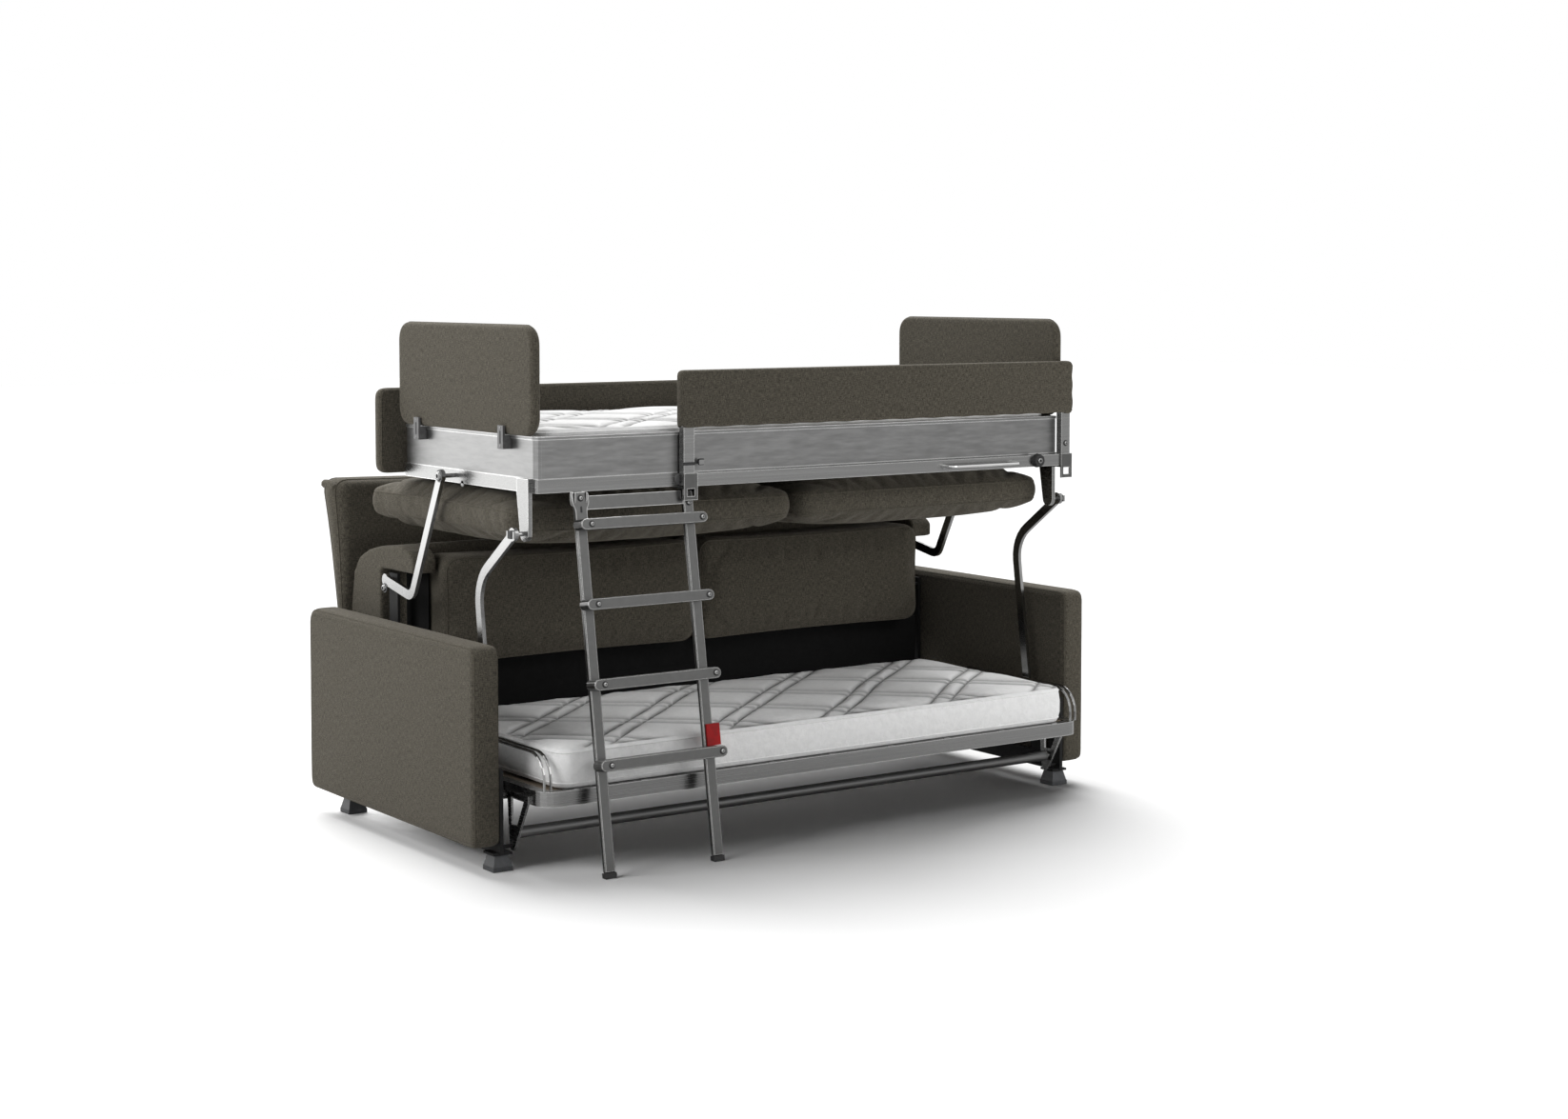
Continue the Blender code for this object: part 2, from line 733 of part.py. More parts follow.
def soft_block(across, up, levels, shape):
    """A closed block of quads, each point moved to where shape puts it."""
    bm = bmesh.new()
    columns, rows = len(across) - 1, len(up) - 1
    bmesh.ops.create_grid(bm, x_segments=columns, y_segments=rows, size=1)
    top = bm.verts[:] + bm.edges[:] + bm.faces[:]
    for _ in range(levels - 1):
        top = bmesh.ops.extrude_face_region(bm, geom=top)["geom"]
        raised = [item for item in top if isinstance(item, bmesh.types.BMVert)]
        bmesh.ops.translate(bm, vec=(0, 0, 1), verts=raised)
    for vert in bm.verts:
        column = round((vert.co.x + 1) * columns / 2)
        row = round((vert.co.y + 1) * rows / 2)
        vert.co = shape(across[column], up[row], round(vert.co.z))
    return mesh_of(bm)


def corner_place(u, v, half_u, half_v, corner):
    """A point of the square grid moved onto a rectangle with round corners."""
    x, y = u * half_u, v * half_v
    over_x = max(abs(x) - (half_u - corner), 0.0)
    over_y = max(abs(y) - (half_v - corner), 0.0)
    reach = math.hypot(over_x, over_y)
    if over_x > 0 and over_y > 0:
        fit = max(over_x, over_y) / reach
        x = math.copysign(half_u - corner + over_x * fit, x)
        y = math.copysign(half_v - corner + over_y * fit, y)
    return x, y


def dome(u, v, power=3):
    return (1 - abs(u) ** power) * (1 - abs(v) ** power)


def padded_block(half_u, half_v, thickness, corner, edge, cells, low=0.0, high=0.0, draw=0.0,
                 pinch_share=0.0, quilt=None):
    """An upholstered slab: round pinched corners, soft edges, crowned faces, drawn-in sides."""
    across = spread(cells[0], corner / half_u)
    up = spread(cells[1], corner / half_v)
    insets = (edge, 0.0, 0.0, edge)
    heights = (0.0, edge, thickness - edge, thickness)

    def shape(u, v, level):
        inset = insets[level]
        pull_u = inset + draw * (1 - v * v)
        pull_v = inset + draw * (1 - u * u)
        x, y = corner_place(u, v, half_u - pull_u, half_v - pull_v, corner - inset)
        z = heights[level]
        if level == 0:
            z -= low * dome(u, v)
        if level == 3:
            z += high * dome(u, v)
            if quilt:
                z -= quilt(u, v) * dome(u, v, 8)
        pinch = pinch_share * abs(u * v) ** 4
        return x, y, z + (thickness / 2 - z) * pinch

    return soft_block(across, up, 4, shape)


def quilted(cells, end_share, side_share):
    """Channels sewn along both diagonals of the grid between the rounded corners."""

    def sewn(place_share):
        return math.cos(math.pi * place_share) ** 8

    def depth(u, v):
        column = (u / (1 - end_share) + 1) / 2 * cells[0]
        row = (v / (1 - side_share) + 1) / 2 * cells[1]
        falling = sewn((column + row) / QUILT_CELLS)
        rising = sewn((column - row) / QUILT_CELLS)
        return QUILT_DEPTH * max(falling, rising)

    return depth


def moved(mesh, at, plane=None):
    """Stand a flat mesh up in a plane, if one is named, and move it."""
    if plane:
        mesh.transform(plane_frame(plane))
    mesh.transform(Matrix.Translation(at))
    return mesh


# Sofa base


def side_name(stem, side):
    return f"{stem}_{'left' if side < 0 else 'right'}"


def span_x(side, inner, outer):
    """Low and high X of something between two distances from the middle."""
    return (inner, outer) if side > 0 else (-outer, -inner)


def build_armrest(base, side):
    mesh = padded_block(
        ARMREST_DEPTH / 2, ARMREST_HEIGHT / 2, ARMREST_THICKNESS, ARMREST_CORNER, ARMREST_EDGE,
        (6, 3), ARMREST_CROWN if side < 0 else 0.0, ARMREST_CROWN if side > 0 else 0.0,
    )
    low = span_x(side, arm_inner_x, OVERALL_LENGTH / 2)[0]
    outward = ARMREST_CROWN * (1 if side < 0 else -1)
    middle_y = ARMREST_FRONT_Y + ARMREST_DEPTH / 2
    middle_z = ARMREST_FLOOR_GAP + ARMREST_HEIGHT / 2
    fitted = Matrix.Diagonal((1 - ARMREST_CROWN / ARMREST_THICKNESS, 1, 1, 1))
    mesh = moved(mesh, (0, 0, 0), "YZ")
    mesh.transform(fitted)
    moved(mesh, (low + max(outward, 0.0), middle_y, middle_z))
    obj = place(side_name("armrest", side), mesh, base, woven_cover)
    shade_round(obj, 60)


def foot_middle_x(side):
    return side * (side_outer_x - FOOT_TOP / 2 + FOOT_OUTSET)


def build_foot(base, side, y, end):
    """A square plastic foot that flares to its sole."""
    x = foot_middle_x(side)
    half = FOOT_TOP / 2
    bm = bmesh.new()
    bmesh.ops.create_cube(bm, size=1)
    for vert in bm.verts:
        reach = half + (FOOT_FLARE if vert.co.z < 0 else -FOOT_TAPER)
        vert.co = (
            math.copysign(reach, vert.co.x),
            math.copysign(reach, vert.co.y),
            FOOT_SOLE if vert.co.z < 0 else FOOT_HEIGHT,
        )
    obj = place(
        f"foot_{end}_{'left' if side < 0 else 'right'}",
        moved(mesh_of(bm), (x, y, 0)), base, foot_plastic,
    )
    sole = half + FOOT_FLARE
    combine(obj, block((x - sole, y - sole, 0), (x + sole, y + sole, FOOT_SOLE_RISE)), base, "UNION")


def build_side_frame(base, side):
    """A steel plate with posts for the arms and cross tubes, and pins for the swing frames."""
    rail_z = side_bottom_z + SIDE_RAIL_HEIGHT
    posts = (
        (SIDE_FRONT_Y, SIDE_FRONT_Y + SIDE_POST_WIDTH, SIDE_POST_TOP),
        (FRONT_BASE_Y - PIVOT_LUG, FRONT_BASE_Y + PIVOT_LUG, FRONT_BASE_Z + PIVOT_LUG),
        (MID_TUBE_FRONT_Y - OVERRUN, MID_TUBE_FRONT_Y + CROSS_TUBE + OVERRUN, MID_TUBE_TOP_Z + OVERRUN),
        (REAR_BASE_Y - REAR_BRACKET_WIDTH / 2, REAR_BASE_Y + REAR_BRACKET_WIDTH / 2,
         rear_bracket_shelf_z + REAR_BRACKET * 2),
        (REAR_TUBE_FRONT_Y - OVERRUN, REAR_TUBE_FRONT_Y + CROSS_TUBE + OVERRUN,
         REAR_TUBE_TOP_Z + OVERRUN),
    )
    outline = skyline(SIDE_FRONT_Y, SIDE_REAR_Y, side_bottom_z, rail_z, posts)
    low, high = span_x(side, side_inner_x, side_outer_x)
    obj = place(side_name("side_frame", side), plate([outline], "YZ", low, high), base, frame_steel)
    x = foot_middle_x(side)
    for y in (FOOT_FRONT_Y, FOOT_REAR_Y):
        half = FOOT_PLATE_LENGTH / 2
        ledge = block(
            (x - half, y - half, side_bottom_z - CLEARANCE / 3),
            (x + half, y + half, side_bottom_z + FOOT_PLATE),
        )
        combine(obj, ledge, base, "UNION")
    for y in (SWING_FRONT_Y, SWING_FRONT_Y + SWING_SPAN):
        foot_pin = drum(
            (side * (swing_outer_x + CLEARANCE), y, swing_bottom_z),
            (side * (side_inner_x + SIDE_PLATE / 2), y, swing_bottom_z), SWING_PIN / 2,
        )
        combine(obj, foot_pin, base, "UNION")
    inner = rear_bracket_x
    shelf = rear_bracket_shelf_z
    section = [
        (side_outer_x - SIDE_PLATE / 2, shelf), (inner, shelf),
        (inner, rear_base_z + LIFT_EYE_RADIUS),
        (inner - REAR_BRACKET, rear_base_z + LIFT_EYE_RADIUS),
        (inner - REAR_BRACKET, shelf - REAR_BRACKET),
        (side_outer_x - SIDE_PLATE / 2, shelf - REAR_BRACKET),
    ]
    section = [(side * across, up) for across, up in section]
    width = REAR_BRACKET_WIDTH - OVERRUN
    jog = plate([section], "XZ", REAR_BASE_Y - width / 2, REAR_BASE_Y + width / 2)
    combine(obj, jog, base, "UNION")


def build_cross_tube(base, name, front_y, top_z):
    reach = side_inner_x - CLEARANCE
    mesh = block((-reach, front_y, top_z - CROSS_TUBE), (reach, front_y + CROSS_TUBE, top_z))
    obj = place(name, mesh, base, frame_steel)
    soften(obj, CROSS_TUBE_BEVEL)


def build_back(base):
    """The sofa's back: a lining board, an upholstered shell, two cushions and a bolster."""
    cushion_bottom = BACK_CUSHION_BOTTOM_Z
    board = block(
        (-board_end_x, MID_TUBE_FRONT_Y, MID_TUBE_TOP_Z + CLEARANCE),
        (board_end_x, MID_TUBE_FRONT_Y + BOARD_THICKNESS, cushion_bottom - CLEARANCE),
    )
    place("back_board", board, base, dark_lining)
    build_shell(base)
    for side in (-1, 1):
        build_back_cushion(base, side)
    build_bolster(base)


def build_shell(base):
    bottom = REAR_TUBE_TOP_Z + CLEARANCE
    width = SHELL_REAR_Y - SHELL_WING_FRONT_Y
    height = shell_top_z - bottom
    outline = [(SHELL_POST_FRONT_Y, bottom), (SHELL_REAR_Y, bottom)]
    outline += [
        (SHELL_WING_FRONT_Y + width * across, bottom + height * up)
        for across, up in SHELL_TOP_SHARES
    ]
    outline += [
        (SHELL_WING_FRONT_Y, shell_wing_underside_z),
        (SHELL_POST_FRONT_Y, shell_wing_underside_z),
    ]
    obj = place("back_shell", plate([outline], "YZ", -shell_end_x, shell_end_x), base, woven_cover)
    bay = back_cushion_end_x + CLEARANCE * 4
    core = block(
        (-bay, BACK_CUSHION_REAR_Y + CLEARANCE, bottom),
        (bay, SHELL_POST_FRONT_Y + OVERRUN, shell_wing_underside_z + OVERRUN),
    )
    combine(obj, core, base, "UNION")
    cutter = block(
        (-bay, SHELL_WING_FRONT_Y - OVERRUN, BACK_CUSHION_BOTTOM_Z - OVERRUN),
        (bay, BACK_CUSHION_REAR_Y + CLEARANCE, shell_top_z + OVERRUN),
    )
    combine(obj, cutter, base, "DIFFERENCE")


def build_back_cushion(base, side):
    low, high = span_x(side, BACK_CUSHION_GAP / 2, back_cushion_end_x)
    thickness = BACK_CUSHION_REAR_Y - BACK_CUSHION_FRONT_Y
    mesh = padded_block(
        (high - low) / 2, back_cushion_height / 2, thickness, BACK_CUSHION_CORNER,
        BACK_CUSHION_EDGE, (6, 4), 0.0, BACK_CUSHION_CROWN, BACK_CUSHION_DRAW,
    )
    at = ((low + high) / 2, BACK_CUSHION_REAR_Y, BACK_CUSHION_BOTTOM_Z + back_cushion_height / 2)
    obj = place(side_name("back_cushion", side), moved(mesh, at, "XZ"), base, woven_cover)
    shade_round(obj, 60)


def build_bolster(base):
    """A tapered cushion that hangs behind the shell and swells towards its top."""
    height = bolster_top_z - BOLSTER_BOTTOM_Z
    across = spread(8, BOLSTER_CORNER / bolster_end_x, 1)
    up = spread(4, BOLSTER_CORNER / height * 2, 1)
    pull = BOLSTER_HEAD * BOLSTER_EDGE_SHARE

    def shape(u, v, level):
        share = (v + 1) / 2
        depth = BOLSTER_FOOT + (BOLSTER_HEAD - BOLSTER_FOOT) * share
        inset = pull * share if level in (0, 3) else 0.0
        x, z = corner_place(u, v, bolster_end_x - inset, height / 2 - inset / 2, BOLSTER_CORNER - inset)
        crease = BOLSTER_CREASE * share * dome(u, 0.0, 2)
        ahead = (depth * BOLSTER_EDGE_SHARE, 0.0)[level in (0, 3)]
        y = (0.0, ahead, depth - ahead, depth)[level] + BOLSTER_LEAN * share * share
        if level == 3:
            y += BOLSTER_CROWN * share * dome(u, v)
        return x, y, z - crease * max(v, 0.0)

    mesh = soft_block(across, up, 4, shape)
    middle = (bolster_top_z + BOLSTER_BOTTOM_Z) / 2
    obj = place("back_bolster", moved(mesh, (0, bolster_front_y, middle)), base, woven_cover)
    shade_round(obj, 60)


# Lower bed


def build_lower_bed(bed):
    depth = LOWER_RAIL_WIDTH + LEDGE_WIDTH
    section = [
        (0.0, LOWER_BOTTOM_Z), (0.0, lower_top_z), (LOWER_RAIL_WIDTH, lower_top_z),
        (LOWER_RAIL_WIDTH, ledge_top_z), (depth, ledge_top_z),
        (depth, ledge_top_z - LEDGE_THICKNESS), (LOWER_RAIL_WIDTH, ledge_top_z - LEDGE_THICKNESS),
        (LOWER_RAIL_WIDTH, LOWER_BOTTOM_Z),
    ]
    mesh = ring(lower_half_length, lower_depth / 2, LOWER_CORNER, section)
    obj = place("lower_frame", moved(mesh, (0, lower_mid_y, 0)), bed, rail_steel)
    shade_round(obj)

    gap = LOWER_RAIL_WIDTH + SLIP
    slats = slat_rack(
        (lower_half_length - gap) * 2, lower_depth - gap * 2, SLAT_THICKNESS, lower_mid_y,
        ledge_top_z + CLEARANCE,
    )
    place("lower_slats", slats, bed, slat_wood)
    build_mattress(
        "lower_mattress", bed, lower_depth / 2 - MATTRESS_SIDE_GAP, lower_mid_y, lower_top_z + CLEARANCE,
        LOWER_MATTRESS_HEIGHT,
    )
    for side in (-1, 1):
        build_hoop(bed, side)


def build_mattress(name, bed, half_depth, middle_y, bottom_z, height):
    quilt = quilted(
        MATTRESS_CELLS, MATTRESS_CORNER / mattress_half_length, MATTRESS_CORNER / half_depth
    )
    mesh = padded_block(
        mattress_half_length, half_depth, height, MATTRESS_CORNER, MATTRESS_EDGE, MATTRESS_CELLS,
        0.0, MATTRESS_CROWN, quilt=quilt,
    )
    obj = place(name, moved(mesh, (0, middle_y, bottom_z)), bed, ticking)
    shade_round(obj, 60)


def build_hoop(bed, side):
    """Two rods side by side that rise from the front rail and run back along the mattress."""
    foot = lower_top_z + CLEARANCE
    front = LOWER_FRONT_Y + LOWER_RAIL_WIDTH / 2
    outer_x = side * (lower_half_length - HOOP_ROD)
    pieces = []
    for x in (outer_x, outer_x - side * HOOP_SPACING):
        low_front = (x, front, foot)
        high_front = (x, front, hoop_top_z)
        high_rear = (x, hoop_rear_y, hoop_top_z)
        low_rear = (x, hoop_rear_y, foot)
        route = [low_front]
        route += rounded_corner(low_front, high_front, high_rear, HOOP_BEND, 6)
        route += rounded_corner(high_front, high_rear, low_rear, HOOP_BEND / 2, 4)
        route += [low_rear]
        pieces.append(rod(route, HOOP_ROD, 1))
    obj = place(side_name("mattress_hoop", side), pieces[0], bed, chrome)
    combine(obj, pieces[1], bed, "UNION")
    inner_x = outer_x - side * HOOP_SPACING
    tie = drum(
        (outer_x, hoop_tie_y, hoop_top_z), (inner_x, hoop_tie_y, hoop_top_z), HOOP_ROD / 3, steps=6
    )
    combine(obj, tie, bed, "UNION")
    shade_round(obj)


def build_swing_frame(carrier, name, y):
    """Two V-shaped plates on one tube, with pins under the bed."""
    top_z = swing_bottom_z + swing_height
    foot = SWING_FOOT_RADIUS
    crown_y = y - SWING_LEAN
    half = SWING_TOP_WIDTH / 2
    outline = arc((y, swing_bottom_z), foot, 200, 340, 5)
    shoulder_z = top_z - SWING_SHOULDER
    outline += [(crown_y + half, shoulder_z), (crown_y + half, top_z), (crown_y - half, top_z)]
    outline += [(crown_y - half, shoulder_z)]
    sill = swing_bottom_z + SWING_TUBE_RISE + SWING_TUBE
    lintel = top_z - SWING_LIMB
    rise = (sill - swing_bottom_z) / swing_height
    sill_half = half * rise - SWING_LIMB / 2
    sill_y = y - SWING_LEAN * rise
    window = [
        (sill_y - sill_half, sill), (sill_y + sill_half, sill),
        (crown_y + half - SWING_LIMB * 1.5, lintel), (crown_y - half + SWING_LIMB * 1.5, lintel),
    ]
    tube_y = y - SWING_LEAN * SWING_TUBE_RISE / swing_height
    tube_z = swing_bottom_z + SWING_TUBE_RISE
    reach = swing_inner_x + SWING_PLATE / 2
    tube = drum((-reach, tube_y, tube_z), (reach, tube_y, tube_z), SWING_TUBE / 2)
    obj = place(name, tube, carrier, rail_steel)
    for side in (-1, 1):
        low, high = span_x(side, swing_inner_x, swing_outer_x)
        combine(obj, plate([outline, window], "YZ", low, high), carrier, "UNION")
        middle = side * (swing_inner_x + SWING_PLATE / 2)
        head_pin = drum(
            (middle, crown_y, top_z - SWING_LIMB / 2),
            (side * (lower_half_length + CLEARANCE), crown_y, top_z - SWING_LIMB / 2),
            SWING_PIN / 2,
        )
        combine(obj, head_pin, carrier, "UNION")
    shade_round(obj)


# Lift arms


def build_front_arm(carrier, side):
    base = Vector((FRONT_BASE_Y, FRONT_BASE_Z))
    elbow = Vector((front_elbow_y, front_elbow_z))
    top = Vector((front_top_y, front_top_z))
    route = [base] + rounded_corner(base, elbow, top, FRONT_ELBOW_RADIUS, 6) + [top]
    obj = build_arm(carrier, side_name("front_lift_arm", side), side, route)
    foot_pin = drum(
        (side * (lift_outer_x - SLIP), *base), (side * (side_inner_x - CLEARANCE), *base), LIFT_PIN / 2
    )
    combine(obj, foot_pin, carrier, "UNION")
    head_pin = drum(
        (side * (lift_inner_x + SLIP), *top), (side * (bracket_outer_x + CLEARANCE), *top),
        LIFT_PIN / 2,
    )
    combine(obj, head_pin, carrier, "UNION")


def build_rear_arm(carrier, side):
    base = Vector((REAR_BASE_Y, rear_base_z))
    elbow = Vector((rear_elbow_y, rear_elbow_z))
    top = Vector((rear_top_y, rear_top_z))
    route = [base] + rounded_corner(base, elbow, top, REAR_ELBOW_RADIUS, 4) + [top]
    obj = build_arm(carrier, side_name("rear_lift_arm", side), side, route)
    inner = rear_bracket_x + CLEARANCE
    foot_pin = drum((side * (lift_inner_x + SLIP), *base), (side * inner, *base), LIFT_PIN / 2)
    combine(obj, foot_pin, carrier, "UNION")
    head_pin = drum(
        (side * (lift_inner_x + SLIP), *top), (side * (upper_half_length + CLEARANCE), *top),
        LIFT_PIN / 2,
    )
    combine(obj, head_pin, carrier, "UNION")


def build_arm(carrier, name, side, route):
    outline = bar_outline(route, LIFT_BAR_WIDTH, LIFT_EYE_RADIUS)
    low, high = span_x(side, lift_inner_x, lift_outer_x)
    obj = place(name, plate([outline], "YZ", low, high), carrier, chrome)
    shade_round(obj)
    return obj


# Upper bed


def build_upper_bed(bed):
    build_upper_frame(bed)
    build_rim(bed)
    flange_top = rim_bottom_z + RIM_WALL
    gap = RIM_WALL + SLIP
    slats = slat_rack(
        (upper_half_length - gap) * 2, upper_depth - gap * 2, SLAT_THICKNESS, upper_mid_y,
        flange_top + CLEARANCE,
    )
    place("upper_slats", slats, bed, slat_wood)
    bottom = flange_top + CLEARANCE + SLAT_THICKNESS + CLEARANCE
    build_mattress(
        "upper_mattress", bed, mattress_half_depth, upper_mid_y, bottom, UPPER_MATTRESS_HEIGHT
    )
    for side in (-1, 1):
        build_bracket(bed, side)
        build_seat_cushion(bed, side)
        for end, y in (("front", clip_front_y), ("rear", clip_rear_y)):
            build_clip(bed, side, end, y)
    build_apron(bed)
    left_post_x = guard_left_x + GUARD_TUBE_WIDTH / 2
    build_guard_hook(bed, "left", (left_post_x + ladder_right_x) / 2)
    build_guard_hook(bed, "right", guard_right_x - GUARD_TUBE_WIDTH / 2)
    build_ladder_hook(bed, "left", ladder_left_x, under_rail_z)
    hook_z = under_rail_z - GUARD_HOOK_PLATE - CLEARANCE
    build_ladder_hook(bed, "right", ladder_right_x, hook_z)


def build_upper_frame(bed):
    """A welded frame of rails with cross tubes and two stubs for the rear guard."""
    section = [
        (0.0, UPPER_BOTTOM_Z), (0.0, upper_rail_top_z), (UPPER_RAIL_WIDTH, upper_rail_top_z),
        (UPPER_RAIL_WIDTH, UPPER_BOTTOM_Z),
    ]
    mesh = ring(upper_half_length, upper_depth / 2, UPPER_RAIL_CORNER, section, 2)
    obj = place("upper_frame", moved(mesh, (0, upper_mid_y, 0)), bed, rail_steel)
    reach = upper_depth / 2 - UPPER_RAIL_WIDTH / 2
    for index in range(UPPER_CROSS_COUNT):
        x = (index - (UPPER_CROSS_COUNT - 1) / 2) * upper_cross_pitch
        half = UPPER_CROSS_WIDTH / 2
        tube = block(
            (x - half, upper_mid_y - reach, UPPER_BOTTOM_Z + SLIP / 2),
            (x + half, upper_mid_y + reach, upper_rail_top_z - SLIP / 2),
        )
        combine(obj, tube, bed, "UNION")
    for side in (-1, 1):
        x = side * stub_place_x
        stub = block(
            (x - STUB_WIDTH / 2, UPPER_REAR_Y - OVERRUN, apron_bottom_z + OVERRUN),
            (x + STUB_WIDTH / 2, UPPER_REAR_Y + APRON_GAP_Y - CLEARANCE, upper_rail_top_z - OVERRUN),
        )
        combine(obj, stub, bed, "UNION")


def build_rim(bed):
    """A folded sheet rim with a proud lip above and a flange below for the slats."""
    lip_z = RIM_HEIGHT - RIM_LIP_HEIGHT
    section = [
        (0.0, 0.0), (0.0, lip_z), (-RIM_LIP_PROUD, lip_z), (-RIM_LIP_PROUD, RIM_HEIGHT),
        (RIM_LIP_WIDTH, RIM_HEIGHT), (RIM_LIP_WIDTH, RIM_HEIGHT - RIM_WALL),
        (RIM_WALL, RIM_HEIGHT - RIM_WALL), (RIM_WALL, RIM_WALL), (RIM_FLANGE, RIM_WALL),
        (RIM_FLANGE, 0.0),
    ]
    mesh = ring(upper_half_length, upper_depth / 2, RIM_CORNER, section)
    obj = place("upper_rim", moved(mesh, (0, upper_mid_y, rim_bottom_z)), bed, brushed_rim)
    shade_round(obj)


def build_bracket(bed, side):
    """A plate that tapers from the rail down to the front arm's pivot."""
    rear_y = bracket_front_y + BRACKET_TOP_WIDTH
    outline = [(bracket_front_y, upper_rail_top_z)]
    outline += arc((front_top_y, front_top_z), BRACKET_END_RADIUS, 180, 350, 8)
    outline += [(rear_y, UPPER_BOTTOM_Z), (rear_y, upper_rail_top_z)]
    low, high = span_x(side, bracket_inner_x, bracket_outer_x)
    obj = place(side_name("front_bracket", side), plate([outline], "YZ", low, high), bed, rail_steel)
    shade_round(obj)


def build_seat_cushion(bed, side):
    low, high = span_x(side, SEAT_GAP / 2, seat_end_x)
    mesh = padded_block(
        (high - low) / 2, (seat_rear_y - seat_front_y) / 2, SEAT_THICKNESS, SEAT_CORNER,
        SEAT_EDGE, (6, 6), SEAT_CROWN_BELOW, SEAT_CROWN_ABOVE, SEAT_DRAW, SEAT_PINCH_SHARE,
    )
    at = ((low + high) / 2, (seat_rear_y + seat_front_y) / 2, seat_low_z)
    obj = place(side_name("seat_cushion", side), moved(mesh, at), bed, woven_cover)
    shade_round(obj, 60)


def build_clip(bed, side, end, y):
    """A plastic clip under the rim's lip that stands up behind the headboard."""
    lip = upper_half_length + RIM_LIP_PROUD
    outer_face = headboard_outer_x + SLIP
    under_lip = rim_top_z - RIM_LIP_HEIGHT - SLIP
    outline = [
        (upper_half_length + CLEARANCE, clip_bottom_z), (outer_face + CLIP_WALL, clip_bottom_z),
        (outer_face + CLIP_WALL, clip_top_z), (outer_face, clip_top_z),
        (outer_face, headboard_bottom_z - SLIP), (lip + SLIP, headboard_bottom_z - SLIP),
        (lip + SLIP, under_lip), (upper_half_length + CLEARANCE, under_lip),
    ]
    outline = [(side * across, up) for across, up in outline]
    mesh = plate([outline], "XZ", y - CLIP_WIDTH / 2, y + CLIP_WIDTH / 2)
    obj = place(f"clip_{end}_{'left' if side < 0 else 'right'}", mesh, bed, clip_plastic)
    soften(obj, SHEET_BEVEL)


def build_apron(bed):
    mesh = padded_block(
        apron_end_x, APRON_HEIGHT / 2, APRON_THICKNESS, APRON_CORNER, APRON_EDGE, (8, 2),
        0.0, APRON_CROWN,
    )
    rear = UPPER_REAR_Y + APRON_GAP_Y + APRON_THICKNESS
    middle = apron_bottom_z + APRON_HEIGHT / 2
    turned = moved(mesh, (0, 0, 0), "XZ")
    turned.transform(Matrix.Rotation(math.pi, 4, "Z"))
    obj = place("rear_guard", moved(turned, (0, rear - APRON_THICKNESS, middle)), bed, woven_cover)
    shade_round(obj, 60)


def build_guard_hook(bed, end, x):
    """A hook under the rail that holds one foot of the front guard."""
    top = under_rail_z
    tab_back = guard_front_y - CLEARANCE
    tab_front = tab_back - GUARD_HOOK_PLATE
    rear = bracket_front_y - SLIP
    tab_top = UPPER_BOTTOM_Z + GUARD_HOOK_RISE
    tab_bottom = UPPER_BOTTOM_Z - GUARD_HOOK_DROP
    outline = [
        (rear, top - GUARD_HOOK_PLATE), (rear, top), (tab_back, top), (tab_back, tab_top),
        (tab_front, tab_top), (tab_front, tab_bottom), (tab_back, tab_bottom),
        (tab_back, top - GUARD_HOOK_PLATE),
    ]
    half = GUARD_HOOK_WIDTH / 2
    obj = place(f"guard_hook_{end}", plate([outline], "YZ", x - half, x + half), bed, ladder_steel)
    half_window = GUARD_HOOK_WINDOW_WIDTH / 2
    window_top = top - GUARD_HOOK_PLATE - SLIP
    cutter = block(
        (x - half_window, tab_front - OVERRUN, window_top - GUARD_HOOK_WINDOW_HEIGHT),
        (x + half_window, tab_back + OVERRUN / 2, window_top),
    )
    combine(obj, cutter, bed, "DIFFERENCE")


def build_ladder_hook(bed, end, x, top):
    """Two cheeks under the rail with the ladder's pivot pin between them."""
    half_stile = STILE_WIDTH / 2 + SLIP / 2
    half_cheek = CHEEK_WIDTH / 2
    pivot = (ladder_pivot_y, ladder_pivot_z)
    outline = arc(pivot, half_cheek, 180, 360, 6)
    outline += [(ladder_pivot_y + half_cheek, top), (ladder_pivot_y - half_cheek, top)]
    reach = half_stile + LADDER_CHEEK / 2
    pin = drum((x - reach, *pivot), (x + reach, *pivot), LADDER_PIN / 2)
    obj = place(f"ladder_hook_{end}", pin, bed, ladder_steel)
    for side in (-1, 1):
        low, high = sorted((x + side * half_stile, x + side * (half_stile + LADDER_CHEEK)))
        combine(obj, plate([outline], "YZ", low, high), bed, "UNION")


def build_headboard(carrier, side):
    depth = headboard_rear_y - UPPER_FRONT_Y
    mesh = padded_block(
        depth / 2, HEADBOARD_HEIGHT / 2, HEADBOARD_THICKNESS, HEADBOARD_CORNER, HEADBOARD_EDGE,
        (5, 2), HEADBOARD_CROWN if side < 0 else 0.0, HEADBOARD_CROWN if side > 0 else 0.0,
    )
    mesh = moved(mesh, (0, 0, 0), "YZ")
    mesh.transform(Matrix.Diagonal((1 - HEADBOARD_CROWN / HEADBOARD_THICKNESS, 1, 1, 1)))
    low = span_x(side, headboard_inner_x, headboard_outer_x)[0]
    crown = HEADBOARD_CROWN if side < 0 else 0.0
    at = (low + crown, (headboard_rear_y + UPPER_FRONT_Y) / 2, headboard_bottom_z + HEADBOARD_HEIGHT / 2)
    obj = place(side_name("headboard", side), moved(mesh, at), carrier, woven_cover)
    shade_round(obj, 60)


# Front guard


